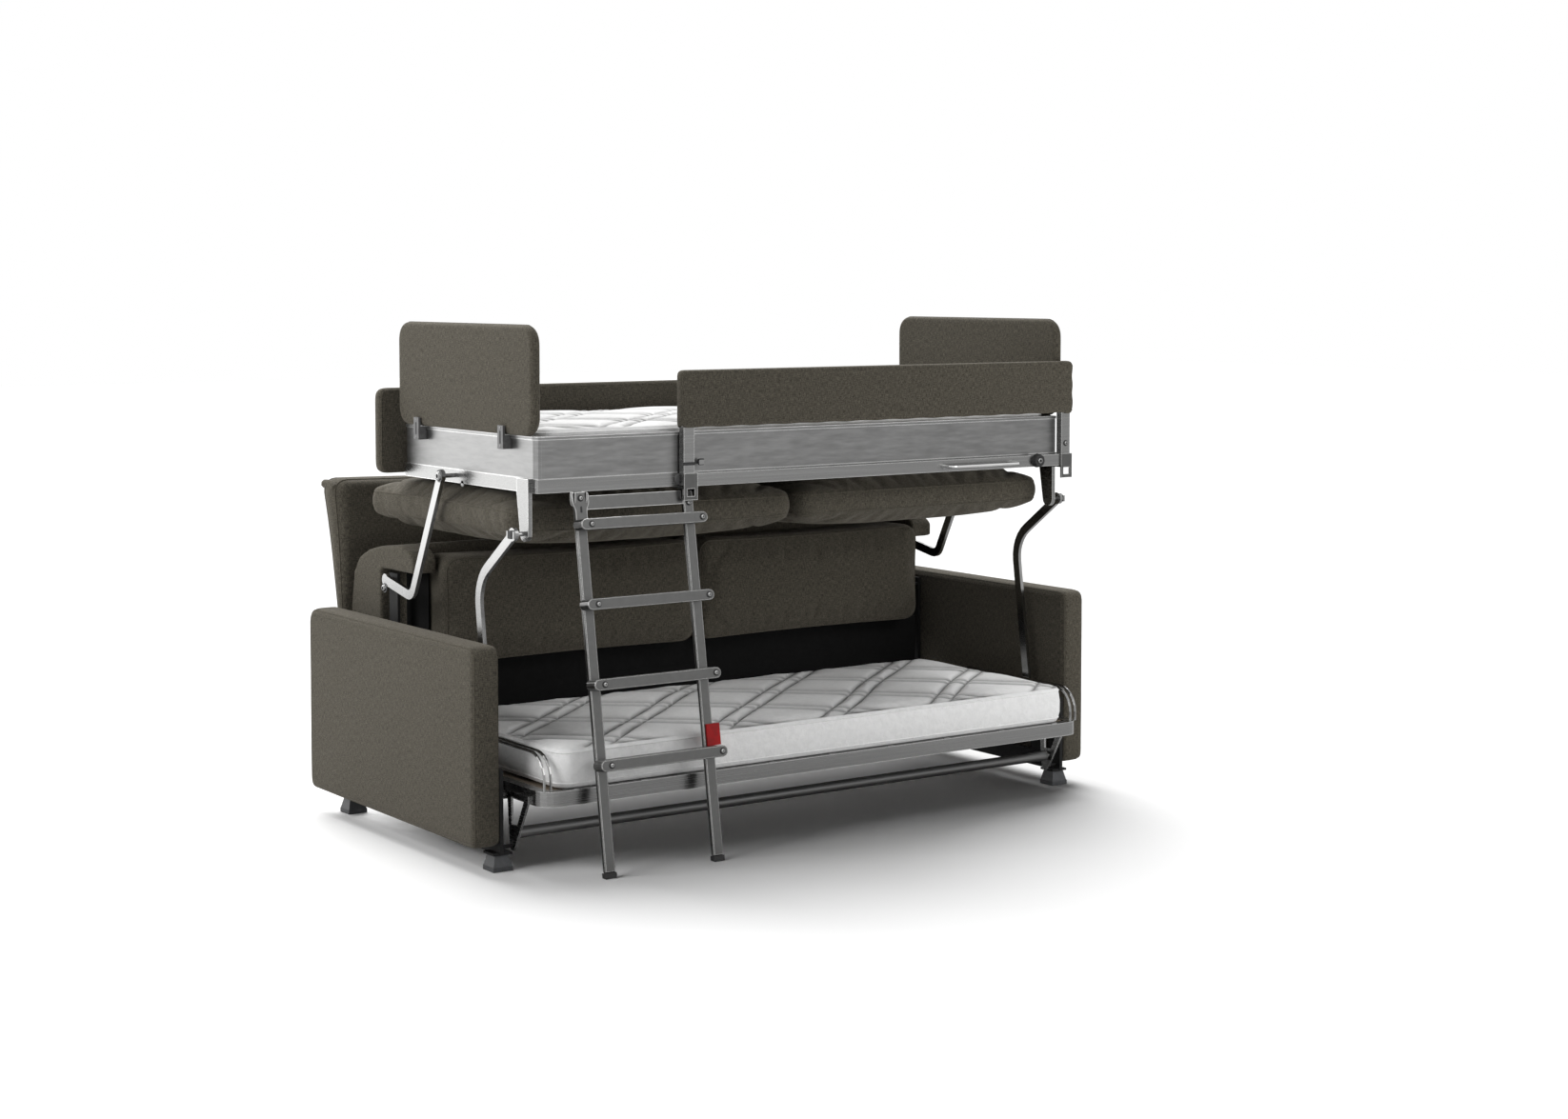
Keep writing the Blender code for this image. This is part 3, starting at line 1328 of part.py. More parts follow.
def build_guard(guard):
    """A tube frame under a fabric cover, with its handle and clamping knob."""
    half_x = (guard_right_x - guard_left_x) / 2
    half_z = (guard_top_z - guard_bottom_z) / 2
    middle_x = (guard_right_x + guard_left_x) / 2
    middle_z = (guard_top_z + guard_bottom_z) / 2
    half = GUARD_TUBE_DEPTH / 2
    section = [(0.0, -half), (0.0, half), (GUARD_TUBE_WIDTH, half), (GUARD_TUBE_WIDTH, -half)]
    frame = ring(half_x, half_z, TUBE_BEVEL, section, 1)
    frame = moved(frame, (middle_x, guard_mid_y, middle_z), "XZ")
    obj = place("guard_frame", frame, guard, rail_steel)
    soften(obj, TUBE_BEVEL / 2)
    build_cover(guard, middle_x, half_x)
    build_handle(guard)
    build_knob(guard)


def build_cover(guard, middle_x, half_x):
    """A fabric sleeve drawn down over the top of the guard frame, open below."""
    space = COVER_SLACK
    wall = space + COVER_WALL
    low = (middle_x - half_x - wall, guard_front_y - SLIP - COVER_WALL, cover_bottom_z)
    high = (
        middle_x + half_x + wall, guard_back_y + SLIP + COVER_WALL / 2,
        guard_top_z + CLEARANCE + COVER_WALL,
    )
    obj = place("guard_cover", block(low, high), guard, woven_cover)
    soften(obj, COVER_WALL / 2, 2)
    hollow = block(
        (middle_x - half_x - space, guard_front_y - SLIP, cover_bottom_z - OVERRUN),
        (middle_x + half_x + space, guard_back_y + SLIP, guard_top_z + CLEARANCE),
    )
    combine(obj, hollow, guard, "DIFFERENCE")


def build_handle(guard):
    start = guard_front_y - CLEARANCE
    out = start - HANDLE_REACH
    z = guard_bottom_z + HANDLE_RISE
    corners = (
        (handle_left_x, start, z), (handle_left_x, out, z),
        (handle_right_x, out, z), (handle_right_x, start, z),
    )
    route = [Vector(corners[0])]
    route += rounded_corner(*corners[:3], HANDLE_BEND)
    route += rounded_corner(*corners[1:], HANDLE_BEND)
    route.append(Vector(corners[3]))
    obj = place("pull_handle", rod(route, HANDLE_ROD), guard, chrome)
    shade_round(obj)


def build_knob(guard):
    """A round clamping knob on the guard's lower rail."""
    back = guard_front_y - CLEARANCE
    front = back - KNOB_DEPTH
    mesh = drum((knob_x, back, guard_rail_mid_z), (knob_x, front, guard_rail_mid_z),
                KNOB_DIAMETER / 2, KNOB_DIAMETER / 2 - KNOB_BEVEL, 20)
    obj = place("guard_knob", mesh, guard, black_rubber)
    shade_round(obj)


def build_latch(latch):
    """A spring pin with a head, drawn sideways out of the guard's post."""
    start = guard_left_x + GUARD_TUBE_WIDTH + CLEARANCE
    end = start + LATCH_LENGTH
    obj = place(
        "guard_latch", drum((start, guard_mid_y, latch_z), (end, guard_mid_y, latch_z), LATCH_PIN / 2),
        latch, black_rubber,
    )
    head = drum(
        (end - LATCH_HEAD_LENGTH, guard_mid_y, latch_z), (end + SLIP, guard_mid_y, latch_z),
        LATCH_HEAD / 2,
    )
    combine(obj, head, latch, "UNION")
    shade_round(obj)


# Ladder, in its own frame: the pivot at zero, Z up along the stiles, the front at -Y


def floor_height(y):
    """Height along the ladder where a place at depth y meets the floor."""
    return (y * math.sin(ladder_lean) - ladder_pivot_z) / math.cos(ladder_lean)


def rung_place(index):
    """Height along the ladder of a rung's middle, counted from the top."""
    return -RUNG_FIRST - index * rung_pitch


def build_ladder(ladder):
    half_x, half_y = STILE_WIDTH / 2, STILE_DEPTH / 2
    stile_foot = floor_height(0.0) + CAP_HEIGHT
    for end, x in (("left", ladder_left_x), ("right", ladder_right_x)):
        mesh = block((x - half_x, -half_y, stile_foot), (x + half_x, half_y, STILE_HEAD))
        obj = place_local(f"ladder_stile_{end}", mesh, ladder, ladder_steel)
        soften(obj, TUBE_BEVEL)
        bore = drum((x - STILE_WIDTH, 0, 0), (x + STILE_WIDTH, 0, 0), LADDER_PIN / 2 + SLIP / 2)
        combine(obj, bore, ladder, "DIFFERENCE", local=True)
        build_cap(ladder, end, x, stile_foot - CLEARANCE)
    build_top_bar(ladder)
    for index in range(RUNG_COUNT):
        build_rung(ladder, index)


def build_cap(ladder, end, x, top):
    """A rubber cap whose sole lies flat on the floor under the leaning stile."""
    half_x = STILE_WIDTH / 2 + CAP_WALL
    half_y = STILE_DEPTH / 2 + CAP_WALL
    bm = bmesh.new()
    bmesh.ops.create_cube(bm, size=1)
    for vert in bm.verts:
        y = math.copysign(half_y, vert.co.y)
        z = top if vert.co.z > 0 else floor_height(y)
        vert.co = (x + math.copysign(half_x, vert.co.x), y, z)
    place_local(f"ladder_cap_{end}", mesh_of(bm), ladder, black_rubber)


def build_top_bar(ladder):
    low_x = ladder_left_x + STILE_WIDTH / 2 + CLEARANCE
    high_x = ladder_right_x - STILE_WIDTH / 2 - CLEARANCE
    cheek = SLIP + LADDER_CHEEK + SLIP
    half = TOP_BAR_THICKNESS / 2
    outline = [
        (low_x, STILE_HEAD - TOP_BAR_HEIGHT), (high_x, STILE_HEAD - TOP_BAR_HEIGHT),
        (high_x, -CHEEK_WIDTH / 2 - SLIP), (high_x - cheek, -CHEEK_WIDTH / 2 - SLIP),
        (high_x - cheek, STILE_HEAD), (low_x + cheek, STILE_HEAD),
        (low_x + cheek, -CHEEK_WIDTH / 2 - SLIP), (low_x, -CHEEK_WIDTH / 2 - SLIP),
    ]
    place_local("ladder_top_bar", plate([outline], "XZ", -half, half), ladder, ladder_steel)


def build_rung(ladder, index):
    """A deep tread with round ends, bolted across the front of both stiles."""
    z = rung_place(index)
    radius = RUNG_HEIGHT / 2
    left = ladder_left_x - RUNG_END_REACH + radius
    right = ladder_right_x + RUNG_END_REACH - radius
    outline = arc((right, z), radius, -90, 90, 6) + arc((left, z), radius, 90, 270, 6)
    back = -STILE_DEPTH / 2 - CLEARANCE
    obj = place_local(
        f"ladder_rung_{index + 1}", plate([outline], "XZ", back - RUNG_DEPTH, back), ladder, ladder_steel
    )
    soften(obj, RUNG_BEVEL)


def build_catch(catch):
    """A red clip that grips the right stile and stands on the lowest rung."""
    inner = ladder_right_x + STILE_WIDTH / 2 + CLEARANCE
    half = STILE_DEPTH / 2 + CLEARANCE
    outline = [
        (inner + CATCH_BLOCK, -half - CATCH_LIP), (inner + CATCH_BLOCK, half + CATCH_LIP),
        (inner - CATCH_REAR_REACH, half + CATCH_LIP), (inner - CATCH_REAR_REACH, half),
        (inner, half), (inner, -half), (inner - CATCH_FRONT_REACH, -half),
        (inner - CATCH_FRONT_REACH, -half - CATCH_LIP),
    ]
    low = rung_place(RUNG_COUNT - 1) + RUNG_HEIGHT / 2 + CLEARANCE
    mesh = plate([outline], "XY", low, low + CATCH_HEIGHT)
    place_local("ladder_catch", mesh, catch, red_plastic)


# The whole bed


def middle_of_depth():
    """Y half way between the foot or lowest rung of the ladder and the back of the bolster."""
    cap = STILE_DEPTH / 2 + CAP_WALL
    tread = STILE_DEPTH / 2 + CLEARANCE + RUNG_DEPTH
    front = min(
        ladder_pivot_y - reach * math.cos(ladder_lean) + height * math.sin(ladder_lean)
        for reach, height in (
            (cap, floor_height(-cap)), (tread, rung_place(RUNG_COUNT - 1) - RUNG_HEIGHT / 2)
        )
    )
    rear = bolster_front_y + BOLSTER_HEAD + BOLSTER_LEAN
    return (front + rear) / 2


def build():
    datum = Carrier("bunk_bed", (0, 0, 0))
    base = Carrier("sofa_base", (0, 0, 0), datum)
    for side in (-1, 1):
        build_armrest(base, side)
        build_side_frame(base, side)
        build_foot(base, side, FOOT_FRONT_Y, "front")
        build_foot(base, side, FOOT_REAR_Y, "rear")
    build_cross_tube(base, "mid_cross_tube", MID_TUBE_FRONT_Y, MID_TUBE_TOP_Z)
    build_cross_tube(base, "rear_cross_tube", REAR_TUBE_FRONT_Y, REAR_TUBE_TOP_Z)
    build_back(base)

    rear_y = SWING_FRONT_Y + SWING_SPAN
    front_swing = Carrier("front_swing_axis", (0, SWING_FRONT_Y, swing_bottom_z), base)
    rear_swing = Carrier("rear_swing_axis", (0, rear_y, swing_bottom_z), base)
    build_swing_frame(front_swing, "front_swing_frame", SWING_FRONT_Y)
    build_swing_frame(rear_swing, "rear_swing_frame", rear_y)
    head_z = swing_bottom_z + swing_height - SWING_LIMB / 2
    lower = Carrier("lower_bed_axis", (0, SWING_FRONT_Y - SWING_LEAN, head_z), front_swing)
    build_lower_bed(lower)

    front_arms = {}
    for side in (-1, 1):
        front_arms[side] = Carrier(
            side_name("front_lift_axis", side), (0, FRONT_BASE_Y, FRONT_BASE_Z), base
        )
        build_front_arm(front_arms[side], side)
        rear_arm = Carrier(side_name("rear_lift_axis", side), (0, REAR_BASE_Y, rear_base_z), base)
        build_rear_arm(rear_arm, side)

    upper = Carrier("upper_bed_axis", (0, front_top_y, front_top_z), front_arms[-1])
    build_upper_bed(upper)
    for side in (-1, 1):
        seat = Carrier(
            side_name("headboard_seat", side), (0, upper_mid_y, headboard_bottom_z), upper
        )
        build_headboard(seat, side)
    guard = Carrier("guard_seat", (0, guard_mid_y, guard_bottom_z), upper)
    build_guard(guard)
    latch = Carrier("latch_axis", (guard_left_x + GUARD_TUBE_WIDTH, guard_mid_y, latch_z), guard)
    build_latch(latch)

    ladder = Carrier(
        "ladder_axis", (0, ladder_pivot_y, ladder_pivot_z), upper, turn=-ladder_lean
    )
    build_ladder(ladder)
    catch = Carrier(
        "ladder_catch_axis", (0, ladder_pivot_y, ladder_pivot_z), ladder, turn=-ladder_lean
    )
    build_catch(catch)

    datum.empty.location.y = -middle_of_depth()


build()
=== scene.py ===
"""Looks of a futon bunk bed: soft pieces, trim, fastenings, materials, light and camera.

Units are metres and +Z is up. The length runs along X, and the ladder side faces -Y.
Places come from the boxes of the CAD nodes, so a piece sits on what carries it.
"""

import json
import math

import bmesh
import bpy
import numpy as np
from mathutils import Matrix, Vector


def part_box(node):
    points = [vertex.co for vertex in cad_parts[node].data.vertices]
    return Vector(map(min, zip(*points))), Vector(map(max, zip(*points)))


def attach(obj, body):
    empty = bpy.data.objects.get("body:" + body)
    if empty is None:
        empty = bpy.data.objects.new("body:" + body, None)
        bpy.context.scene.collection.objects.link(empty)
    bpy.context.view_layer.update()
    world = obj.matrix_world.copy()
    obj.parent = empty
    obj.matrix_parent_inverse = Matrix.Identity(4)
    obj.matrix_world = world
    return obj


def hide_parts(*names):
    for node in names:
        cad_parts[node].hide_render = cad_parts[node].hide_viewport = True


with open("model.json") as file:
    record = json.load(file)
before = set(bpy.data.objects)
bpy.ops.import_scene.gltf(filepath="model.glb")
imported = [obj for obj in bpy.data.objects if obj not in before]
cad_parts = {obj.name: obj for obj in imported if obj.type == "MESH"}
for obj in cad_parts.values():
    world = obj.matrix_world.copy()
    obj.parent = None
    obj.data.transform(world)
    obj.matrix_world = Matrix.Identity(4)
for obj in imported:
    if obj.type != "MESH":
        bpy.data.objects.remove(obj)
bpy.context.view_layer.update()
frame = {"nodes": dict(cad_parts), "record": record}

SIDES = {-1: "left", 1: "right"}

# Camera
CAMERA_PLACE = (-4.0654, -6.1130, 1.5426)
CAMERA_TILT = 86.92
CAMERA_HEADING = -35.30
LENS_MM = 56.68
SENSOR_MM = 36
CAMERA_SHIFT = -0.0921

# Fits
CLEARANCE = 0.0003
STAND_OFF = 0.0008
TINY = 1e-9

# Cloth covers
WELT = 0.0035
TAPE = 0.0052
FINE_WELT = 0.0024
LINE_SIDES = 8
THREAD = 0.0007
STITCH_LENGTH = 0.007
STITCH_PITCH = 0.011
STITCH_SIDES = 6
STITCH_FORM = ((-1.0, 0.2), (-0.6, 1.0), (0.6, 1.0), (1.0, 0.2))
EDGE_STEPS = 4
WAVE_COUNT = 7

# Boards: waves are given as their height, length and seed
PANEL_CELL = 0.014
ARMREST_EDGE = 0.017
ARMREST_CORNERS = (0.026, 0.028, 0.046, 0.03)
ARMREST_CROWN = 0.0025
ARMREST_WAVES = (0.0008, 0.22, 11)
HEADBOARD_EDGE = 0.013
HEADBOARD_CORNER = 0.05
HEADBOARD_CROWN = 0.003
HEADBOARD_WAVES = (0.0008, 0.2, 21)
APRON_EDGE = 0.013
APRON_CORNER = 0.025
APRON_CROWN = 0.0025
APRON_WAVES = (0.001, 0.25, 31)

# Cloth simulation: a cushion's stuffing is its growth and the most that a point moves
SIM_FRAMES = 20
CLOTH_SETTINGS = {
    "quality": 6, "mass": 0.25, "tension_stiffness": 12, "compression_stiffness": 12,
    "shear_stiffness": 4, "bending_stiffness": 0.6, "use_pressure": True,
    "uniform_pressure_force": 4.0, "vertex_group_mass": "held",
}

# Seat cushions
SEAT_BORDER = 0.081
SEAT_CROWN_ABOVE = 0.0375
SEAT_CROWN_BELOW = 0.047
SEAT_CROWN_START = 0.7
SEAT_CORNER = 0.06
SEAT_EDGE = 0.016
SEAT_BULGE = 0.003
SEAT_DRAW = 0.008
SEAT_PINCH = 0.1
SEAT_CELL = 0.014
SEAT_STUFFING = (0.035, 0.02)
SEAT_WAVES = (0.0016, 0.16, 41)

# Back of the sofa
BACK_CORNER = 0.05
BACK_EDGE = 0.026
BACK_CROWN = 0.014
BACK_CROWN_START = 0.6
BACK_PROUD = 0.004
BACK_DRAW = 0.006
BACK_CELL = 0.012
BACK_STUFFING = (0.03, 0.016)
BACK_WAVES = (0.0016, 0.2, 51)
SHELL_VOXEL = 0.006
SHELL_SMOOTH = 8
SHELL_SMOOTH_FACTOR = 0.5
BOLSTER_FOOT = 0.022
BOLSTER_HEAD = 0.125
BOLSTER_LEAN = 0.052
BOLSTER_CROWN = 0.009
BOLSTER_CORNER = 0.05
BOLSTER_CELL = 0.014
BOLSTER_RINGS = (0.0, 0.08, 0.2, 0.35, 0.5, 0.65, 0.8, 0.92, 1.0)
BOLSTER_PINCH = 0.3
BOLSTER_CREASE = 0.012
BOLSTER_WAVES_DEEP = (0.003, 0.2, 61)
BOLSTER_WAVES_HIGH = (0.002, 0.3, 62)

# Mattresses
MATTRESS_CELL = 0.0065
MATTRESS_CORNER = 0.05
MATTRESS_EDGE = 0.013
MATTRESS_BULGE = 0.003
MATTRESS_RISE = 0.012
MATTRESS_CROWN = 0.006
MATTRESS_WAVES = (0.0022, 0.12, 71)
QUILT_PERIOD = (0.384, 0.336)
QUILT_SPREAD = 1 / math.hypot(1 / QUILT_PERIOD[0], 1 / QUILT_PERIOD[1])
QUILT_START = (0.08, -0.196)
QUILT_PAIR = (-0.1, 0.1)
QUILT_PUFF = 0.007
QUILT_SWELL = 0.007
QUILT_REACH = 0.010
SWELL_REACH = 0.045
QUILT_FADE = 0.03
SWAY_X = (0.012, 9.0)
SWAY_Y = (0.010, 13.0)
SWAY_SLANT = 4.0

# Guard cover: a pucker is its height, reach, pitch and phase
COVER_CORNER = 0.014
COVER_EDGE = 0.009
COVER_CELL = 0.009
COVER_WALL = 0.0025
COVER_WAVES = (0.0012, 0.11, 81)
COVER_PUCKERS = ((0.0022, 0.05, 160.0, 0.0), (0.0018, 0.07, 120.0, 1.0))
COVER_HEM = (0.0015, 0.01, 60.0)
COVER_HEM_REACH = 0.03
COVER_OPENING = 0.01
COVER_ROWS = {"hem": 0.012, "top": -0.016}
COVER_ROW_END = 0.004
COVER_ROW_DEPTH = 0.0006
COVER_ROW_POINTS = 60

# Fastenings
SINK = 0.0004
BEVEL = 0.0006
CREASE_ANGLE = 35
OUTLINE_STEPS = 6
EASE_STEPS = 4
BOLT_FORM = ((0.0, 1.0), (0.35, 1.0), (0.75, 0.9), (1.0, 0.66))
RING_FORM = ((0.0, 1.0), (0.6, 1.0), (1.0, 0.94))
BOLT_RISE = 0.6
BOLT_SOCKET = 0.5
SOCKET_DEPTH = 0.9
BOLT = 0.0062
BOLT_RING = 0.0088
BOLT_LIFT = 0.0012
RING_RISE = 0.0016
RUNG_BOLT_INSETS = {"left": 0.031, "right": -0.017}

# Heads of the ladder
HEAD_OUTLINE = (
    (-0.0172, -0.066), (0.0172, -0.066), (0.0172, -0.024), (0.025, -0.008), (0.025, 0.022),
    (-0.025, 0.022), (-0.025, -0.008), (-0.0172, -0.024),
)
HEAD_PIVOT_DROP = 0.0119
HEAD_PLATE = 0.003
HEAD_CORNER = 0.007
HEAD_SLOT = (0.0028, 0.0085, 0.00266)
HEAD_SLOT_DROP = 0.024
HEAD_BOLT_RISE = 0.006
SIDE_BOLT_DROP = 0.022

# Guard fittings
GUARD_POST_BOLTS = {"left": (-0.002, 1.016), "right": (0.0, 1.06)}
STOP_LUG = (0.004, 0.016)
STOP_LUG_FORM = ((0.0, 1.0), (0.75, 1.0), (1.0, 0.94))
STOP_LUG_AHEAD = 0.016
STOP_LUG_HEIGHT = 1.0125
STRAP = (0.0185, 0.0042, 0.002)
STRAP_DEPTH = 0.0016
STRAP_AHEAD = 0.003
STRAP_RISE = 0.006
LATCH_PLATE = (0.009, 0.0065, 0.0015)
LATCH_PLATE_DEPTH = 0.002
LATCH_PLATE_INSET = 0.011
KNOB_BOLT = 0.0085
KNOB_BOLT_RISE = 0.004
HANDLE_FOOT = 0.0095
HANDLE_FOOT_RISE = 0.002
HANDLE_FOOT_INSET = 0.0045

# Lift arm fittings: a pivot is the radius of its ring, and the radius and rise of its head
ARM_END = 0.018
PIVOT_TOP = (0.0175, 0.0135, 0.006)
PIVOT_FOOT = (0.014, 0.010125, 0.006075)
PIVOT_RING_RISE = 0.002
ARM_NUT = (0.0105, 0.0105, 0.0022)
ARM_NUT_DEPTH = 0.008
ARM_NUT_EDGE = 0.0015
ARM_CHEEK = (0.0042, 0.00945, 0.0016)
ARM_CHEEK_PLACE = 0.0151
ARM_CHEEK_DEPTH = 0.006
ARM_CHEEK_EDGE = 0.0012

# Fittings of the rails, clips, shell and bolster
CLIP_SLOT = (0.0035, 0.017, 0.002)
CLIP_SCREW = 0.0032
CLIP_SCREW_PLACE = 0.024
SLEEVE = 0.015
SLEEVE_TAPER = 0.003
SLEEVE_INSET = 0.004
SLEEVE_SIDES = 32
RAIL_LUG = (0.006, 0.009)
RAIL_LUG_FORM = ((0.0, 1.0), (5 / 6, 1.0), (1.0, 0.9))
RAIL_LUG_AHEAD = 0.041
RAIL_CLIP = (0.011, 0.0034, 0.00272)
RAIL_CLIP_RISE = 0.0022
RAIL_CLIP_COUNT = 9
RAIL_CLIP_END = 0.1
# Near-black sheets of painted shade in the shell's recesses: their corner and depth.
RECESS_SHADE_CORNER = 0.012
RECESS_SHADE_DEPTH = 0.001
HEM_ROLL = 0.013
HEM_TUCK = (1.3, 1.2)
HEM_POINTS = 12
HEM_INSET = 0.024
HEM_DROOP = 0.006
HEM_FALL = 0.01


# Materials


def add_node(tree, kind, inputs=(), **settings):
    """A new node, with its inputs linked or set."""
    made = tree.nodes.new(kind)
    for name, value in settings.items():
        setattr(made, name, value)
    for key, value in dict(inputs).items():
        if isinstance(value, bpy.types.NodeSocket):
            tree.links.new(value, made.inputs[key])
        else:
            made.inputs[key].default_value = value
    return made


class Finish:
    """The nodes of one procedural material, in the object's own coordinates."""

    def __init__(self, name, roughness, metallic=0.0, sockets=()):
        self.material = bpy.data.materials.new(name)
        self.material.use_nodes = True
        self.tree = self.material.node_tree
        self.shader = self.tree.nodes["Principled BSDF"]
        for socket, value in {"Roughness": roughness, "Metallic": metallic, **dict(sockets)}.items():
            self.shader.inputs[socket].default_value = value
        source = self.node("ShaderNodeTexCoord").outputs
        self.place, self.normal = source["Object"], source["Normal"]

    def node(self, kind, inputs=(), **settings):
        return add_node(self.tree, kind, inputs, **settings)

    def math(self, operation, first, second=0.0):
        return self.node("ShaderNodeMath", {0: first, 1: second}, operation=operation).outputs[0]

    def plus(self, first, second):
        return self.math("ADD", first, second)

    def times(self, first, second):
        return self.math("MULTIPLY", first, second)

    def vector(self, operation, first, second=(0, 0, 0), output=0):
        made = self.node("ShaderNodeVectorMath", {0: first, 1: second}, operation=operation)
        return made.outputs[output]

    def axes(self, vector):
        return self.node("ShaderNodeSeparateXYZ", {0: vector}).outputs

    def pick(self, factor, first, second):
        made = self.node("ShaderNodeMix", {0: factor, 2: first, 3: second}, data_type="FLOAT")
        return made.outputs[0]

    def noise(self, vector, scale=1.0, detail=2.0, distortion=0.0):
        inputs = {"Vector": vector, "Scale": scale, "Detail": detail, "Distortion": distortion}
        return self.node("ShaderNodeTexNoise", inputs).outputs[0]

    def streaks(self, vector, scales, detail, distortion=0.0):
        """Noise with its own scale along each axis."""
        return self.noise(self.vector("MULTIPLY", vector, scales), 1.0, detail, distortion)

    def ramp(self, value, colour, *stops):
        """Shades of one colour along a value: each stop is a place and a factor."""
        made = self.node("ShaderNodeValToRGB", {0: value})
        elements = made.color_ramp.elements
        while len(elements) < len(stops):
            elements.new(0.5)
        for element, (position, factor) in zip(elements, stops):
            element.position = position
            element.color = (*shade(colour, factor), 1.0)
        return made.outputs[0]

    def level(self, value, low, high):
        """A value from 0 to 1 spread between two others."""
        return self.node("ShaderNodeMapRange", {0: value, 3: low, 4: high}).outputs[0]

    def done(self, colour, rough, height, depth):
        """The material, with its colour, roughness and fine relief in place."""
        bump = self.node("ShaderNodeBump", {"Height": height, "Distance": depth}).outputs[0]
        for name, socket in (("Base Color", colour), ("Roughness", rough), ("Normal", bump)):
            self.tree.links.new(socket, self.shader.inputs[name])
        return self.material

    def flat(self):
        """Two coordinates in the plane that the surface faces most."""
        facing = self.axes(self.vector("ABSOLUTE", self.normal))
        at = self.axes(self.place)
        end_on = self.math("GREATER_THAN", facing[0], self.math("MAXIMUM", facing[1], facing[2]))
        level = self.math("GREATER_THAN", facing[2], self.math("MAXIMUM", facing[0], facing[1]))
        across = self.pick(end_on, at[0], at[1])
        up = self.pick(level, at[2], at[1])
        return self.node("ShaderNodeCombineXYZ", {0: across, 1: up}).outputs[0]


def shade(colour, factor):
    return tuple(part * factor for part in colour)


WHITE = (1.0, 1.0, 1.0)
CLOTH_GLOSS = {
    "Sheen Weight": 0.16, "Sheen Roughness": 0.45, "Sheen Tint": (1.0, 0.93, 0.8, 1.0),
    "Specular IOR Level": 0.15,
}
KNIT_GLOSS = {"Sheen Weight": 0.45, "Sheen Roughness": 0.6, "Specular IOR Level": 0.2}
DULL = {"Specular IOR Level": 0.15}
LACQUER = {"Coat Weight": 0.05, "Specular IOR Level": 0.25}
FINE_NOISE = 420.0
WEAVE_PITCH = 1750.0
WEAVE_TONE = 0.06
WEAVE_RELIEF = 0.35
STREAK_LONG = 75.0
STREAK_FINE = 560.0
FLECK_SHARE = 0.2


def woven(name, colour, contrast=1.0):
    """Upholstery cloth: short mixed-tone threads both ways over a plain weave."""
    made = Finish(name, 0.92, sockets=CLOTH_GLOSS)
    plane = made.flat()
    along = made.streaks(plane, (STREAK_LONG, STREAK_FINE, 1), 3.0)
    across = made.streaks(plane, (STREAK_FINE, STREAK_LONG, 1), 3.0)
    warp, weft = (made.math("SINE", made.times(part, WEAVE_PITCH)) for part in made.axes(plane)[:2])
    over = made.times(warp, weft)
    thread = made.pick(made.math("GREATER_THAN", over, 0.0), along, across)
    fleck = made.noise(made.place, FINE_NOISE)
    tone = made.plus(made.times(thread, 1 - FLECK_SHARE), made.times(fleck, FLECK_SHARE))
    tone = made.plus(tone, made.times(over, WEAVE_TONE))
    shades = made.ramp(tone, colour, (0.36, 1 - 0.72 * contrast), (0.5, 1.0), (0.64, 1 + 0.95 * contrast))
    height = made.plus(made.times(over, WEAVE_RELIEF), thread)
    return made.done(shades, made.level(thread, 0.84, 0.97), height, 0.0007)


# Painted shade darkens the quilting seams down to the seam tone below. The widths, one for each seam family,
# set both that shade and the creases; the first family's is the wider, so that its shade shows at a low
# view.
SEAM_PAINTED_SHADE = 0.3
SEAM_WIDTHS = (0.0135, 0.0038)
SEAM_CREASE = 2.4
SEAM_FAR = 20.0
PUFF_SHARE = 0.22
PUFF_RISE = 7.0


def seam_shade(made):
    """Two values that are 1 on a quilting seam and 0 off the quilted top: one falls fast, one slowly; the
    fast one also sets the painted shade in the seams.
    """
    x, y = made.axes(made.place)[:2]
    a, b = (
        made.math("DIVIDE", made.math("SUBTRACT", part, start), period)
        for part, start, period in zip((x, y), QUILT_START, QUILT_PERIOD)
    )
    sway = made.times(made.math("SINE", made.times(x, SWAY_X[1])), SWAY_X[0])
    slant = made.plus(made.times(y, SWAY_Y[1]), made.times(x, SWAY_SLANT))
    b = made.plus(b, made.plus(sway, made.times(made.math("SINE", slant), SWAY_Y[0])))
    nearest = SEAM_FAR
    for operation, width in zip(("ADD", "SUBTRACT"), SEAM_WIDTHS):
        family = made.math(operation, a, b)
        for shift in QUILT_PAIR:
            away = made.math("PINGPONG", made.plus(family, shift), 0.5)
            nearest = made.math("MINIMUM", made.times(away, QUILT_SPREAD / width), nearest)
    quilted = made.node("ShaderNodeAttribute", attribute_name="quilted").outputs["Fac"]
    return [
        made.times(made.math("EXPONENT", made.times(nearest, -share)), quilted)
        for share in (1.0, PUFF_SHARE)
    ]


def white_ticking(name, colour):
    """Soft white knitted ticking, slightly fuzzy and creased along its seams, with painted shade darkening
    the seams.
    """
    made = Finish(name, 0.9, sockets=KNIT_GLOSS)
    tint = made.ramp(made.noise(made.place, 55.0, 4.0, 0.6), colour, (0.3, 0.93), (0.7, 1.03))
    seam_nearness, puff = seam_shade(made)
    # Painted shade: the ticking's colour darkens towards the seams.
    seam = made.ramp(seam_nearness, WHITE, (0.0, 1.0), (0.9, SEAM_PAINTED_SHADE))
    fuzz = made.noise(made.place, FINE_NOISE, 4.0)
    height = made.plus(made.times(fuzz, 0.4), made.noise(made.place, 90.0, 3.0, 0.8))
    crease = made.plus(made.times(seam_nearness, SEAM_CREASE), made.times(puff, PUFF_RISE))
    height = made.math("SUBTRACT", height, crease)
    return made.done(made.vector("MULTIPLY", tint, seam), made.level(fuzz, 0.82, 0.98), height, 0.0016)


# Painted highlight on the edges of grained metal: how many times brighter, how far it reaches from the edge,
# and the samples that find the edge.
EDGE_HIGHLIGHT = 3.0
EDGE_HIGHLIGHT_REACH = 0.0034
EDGE_SAMPLES = 6
GRAIN_SWAY = (5.0, 5.0, 9.0)


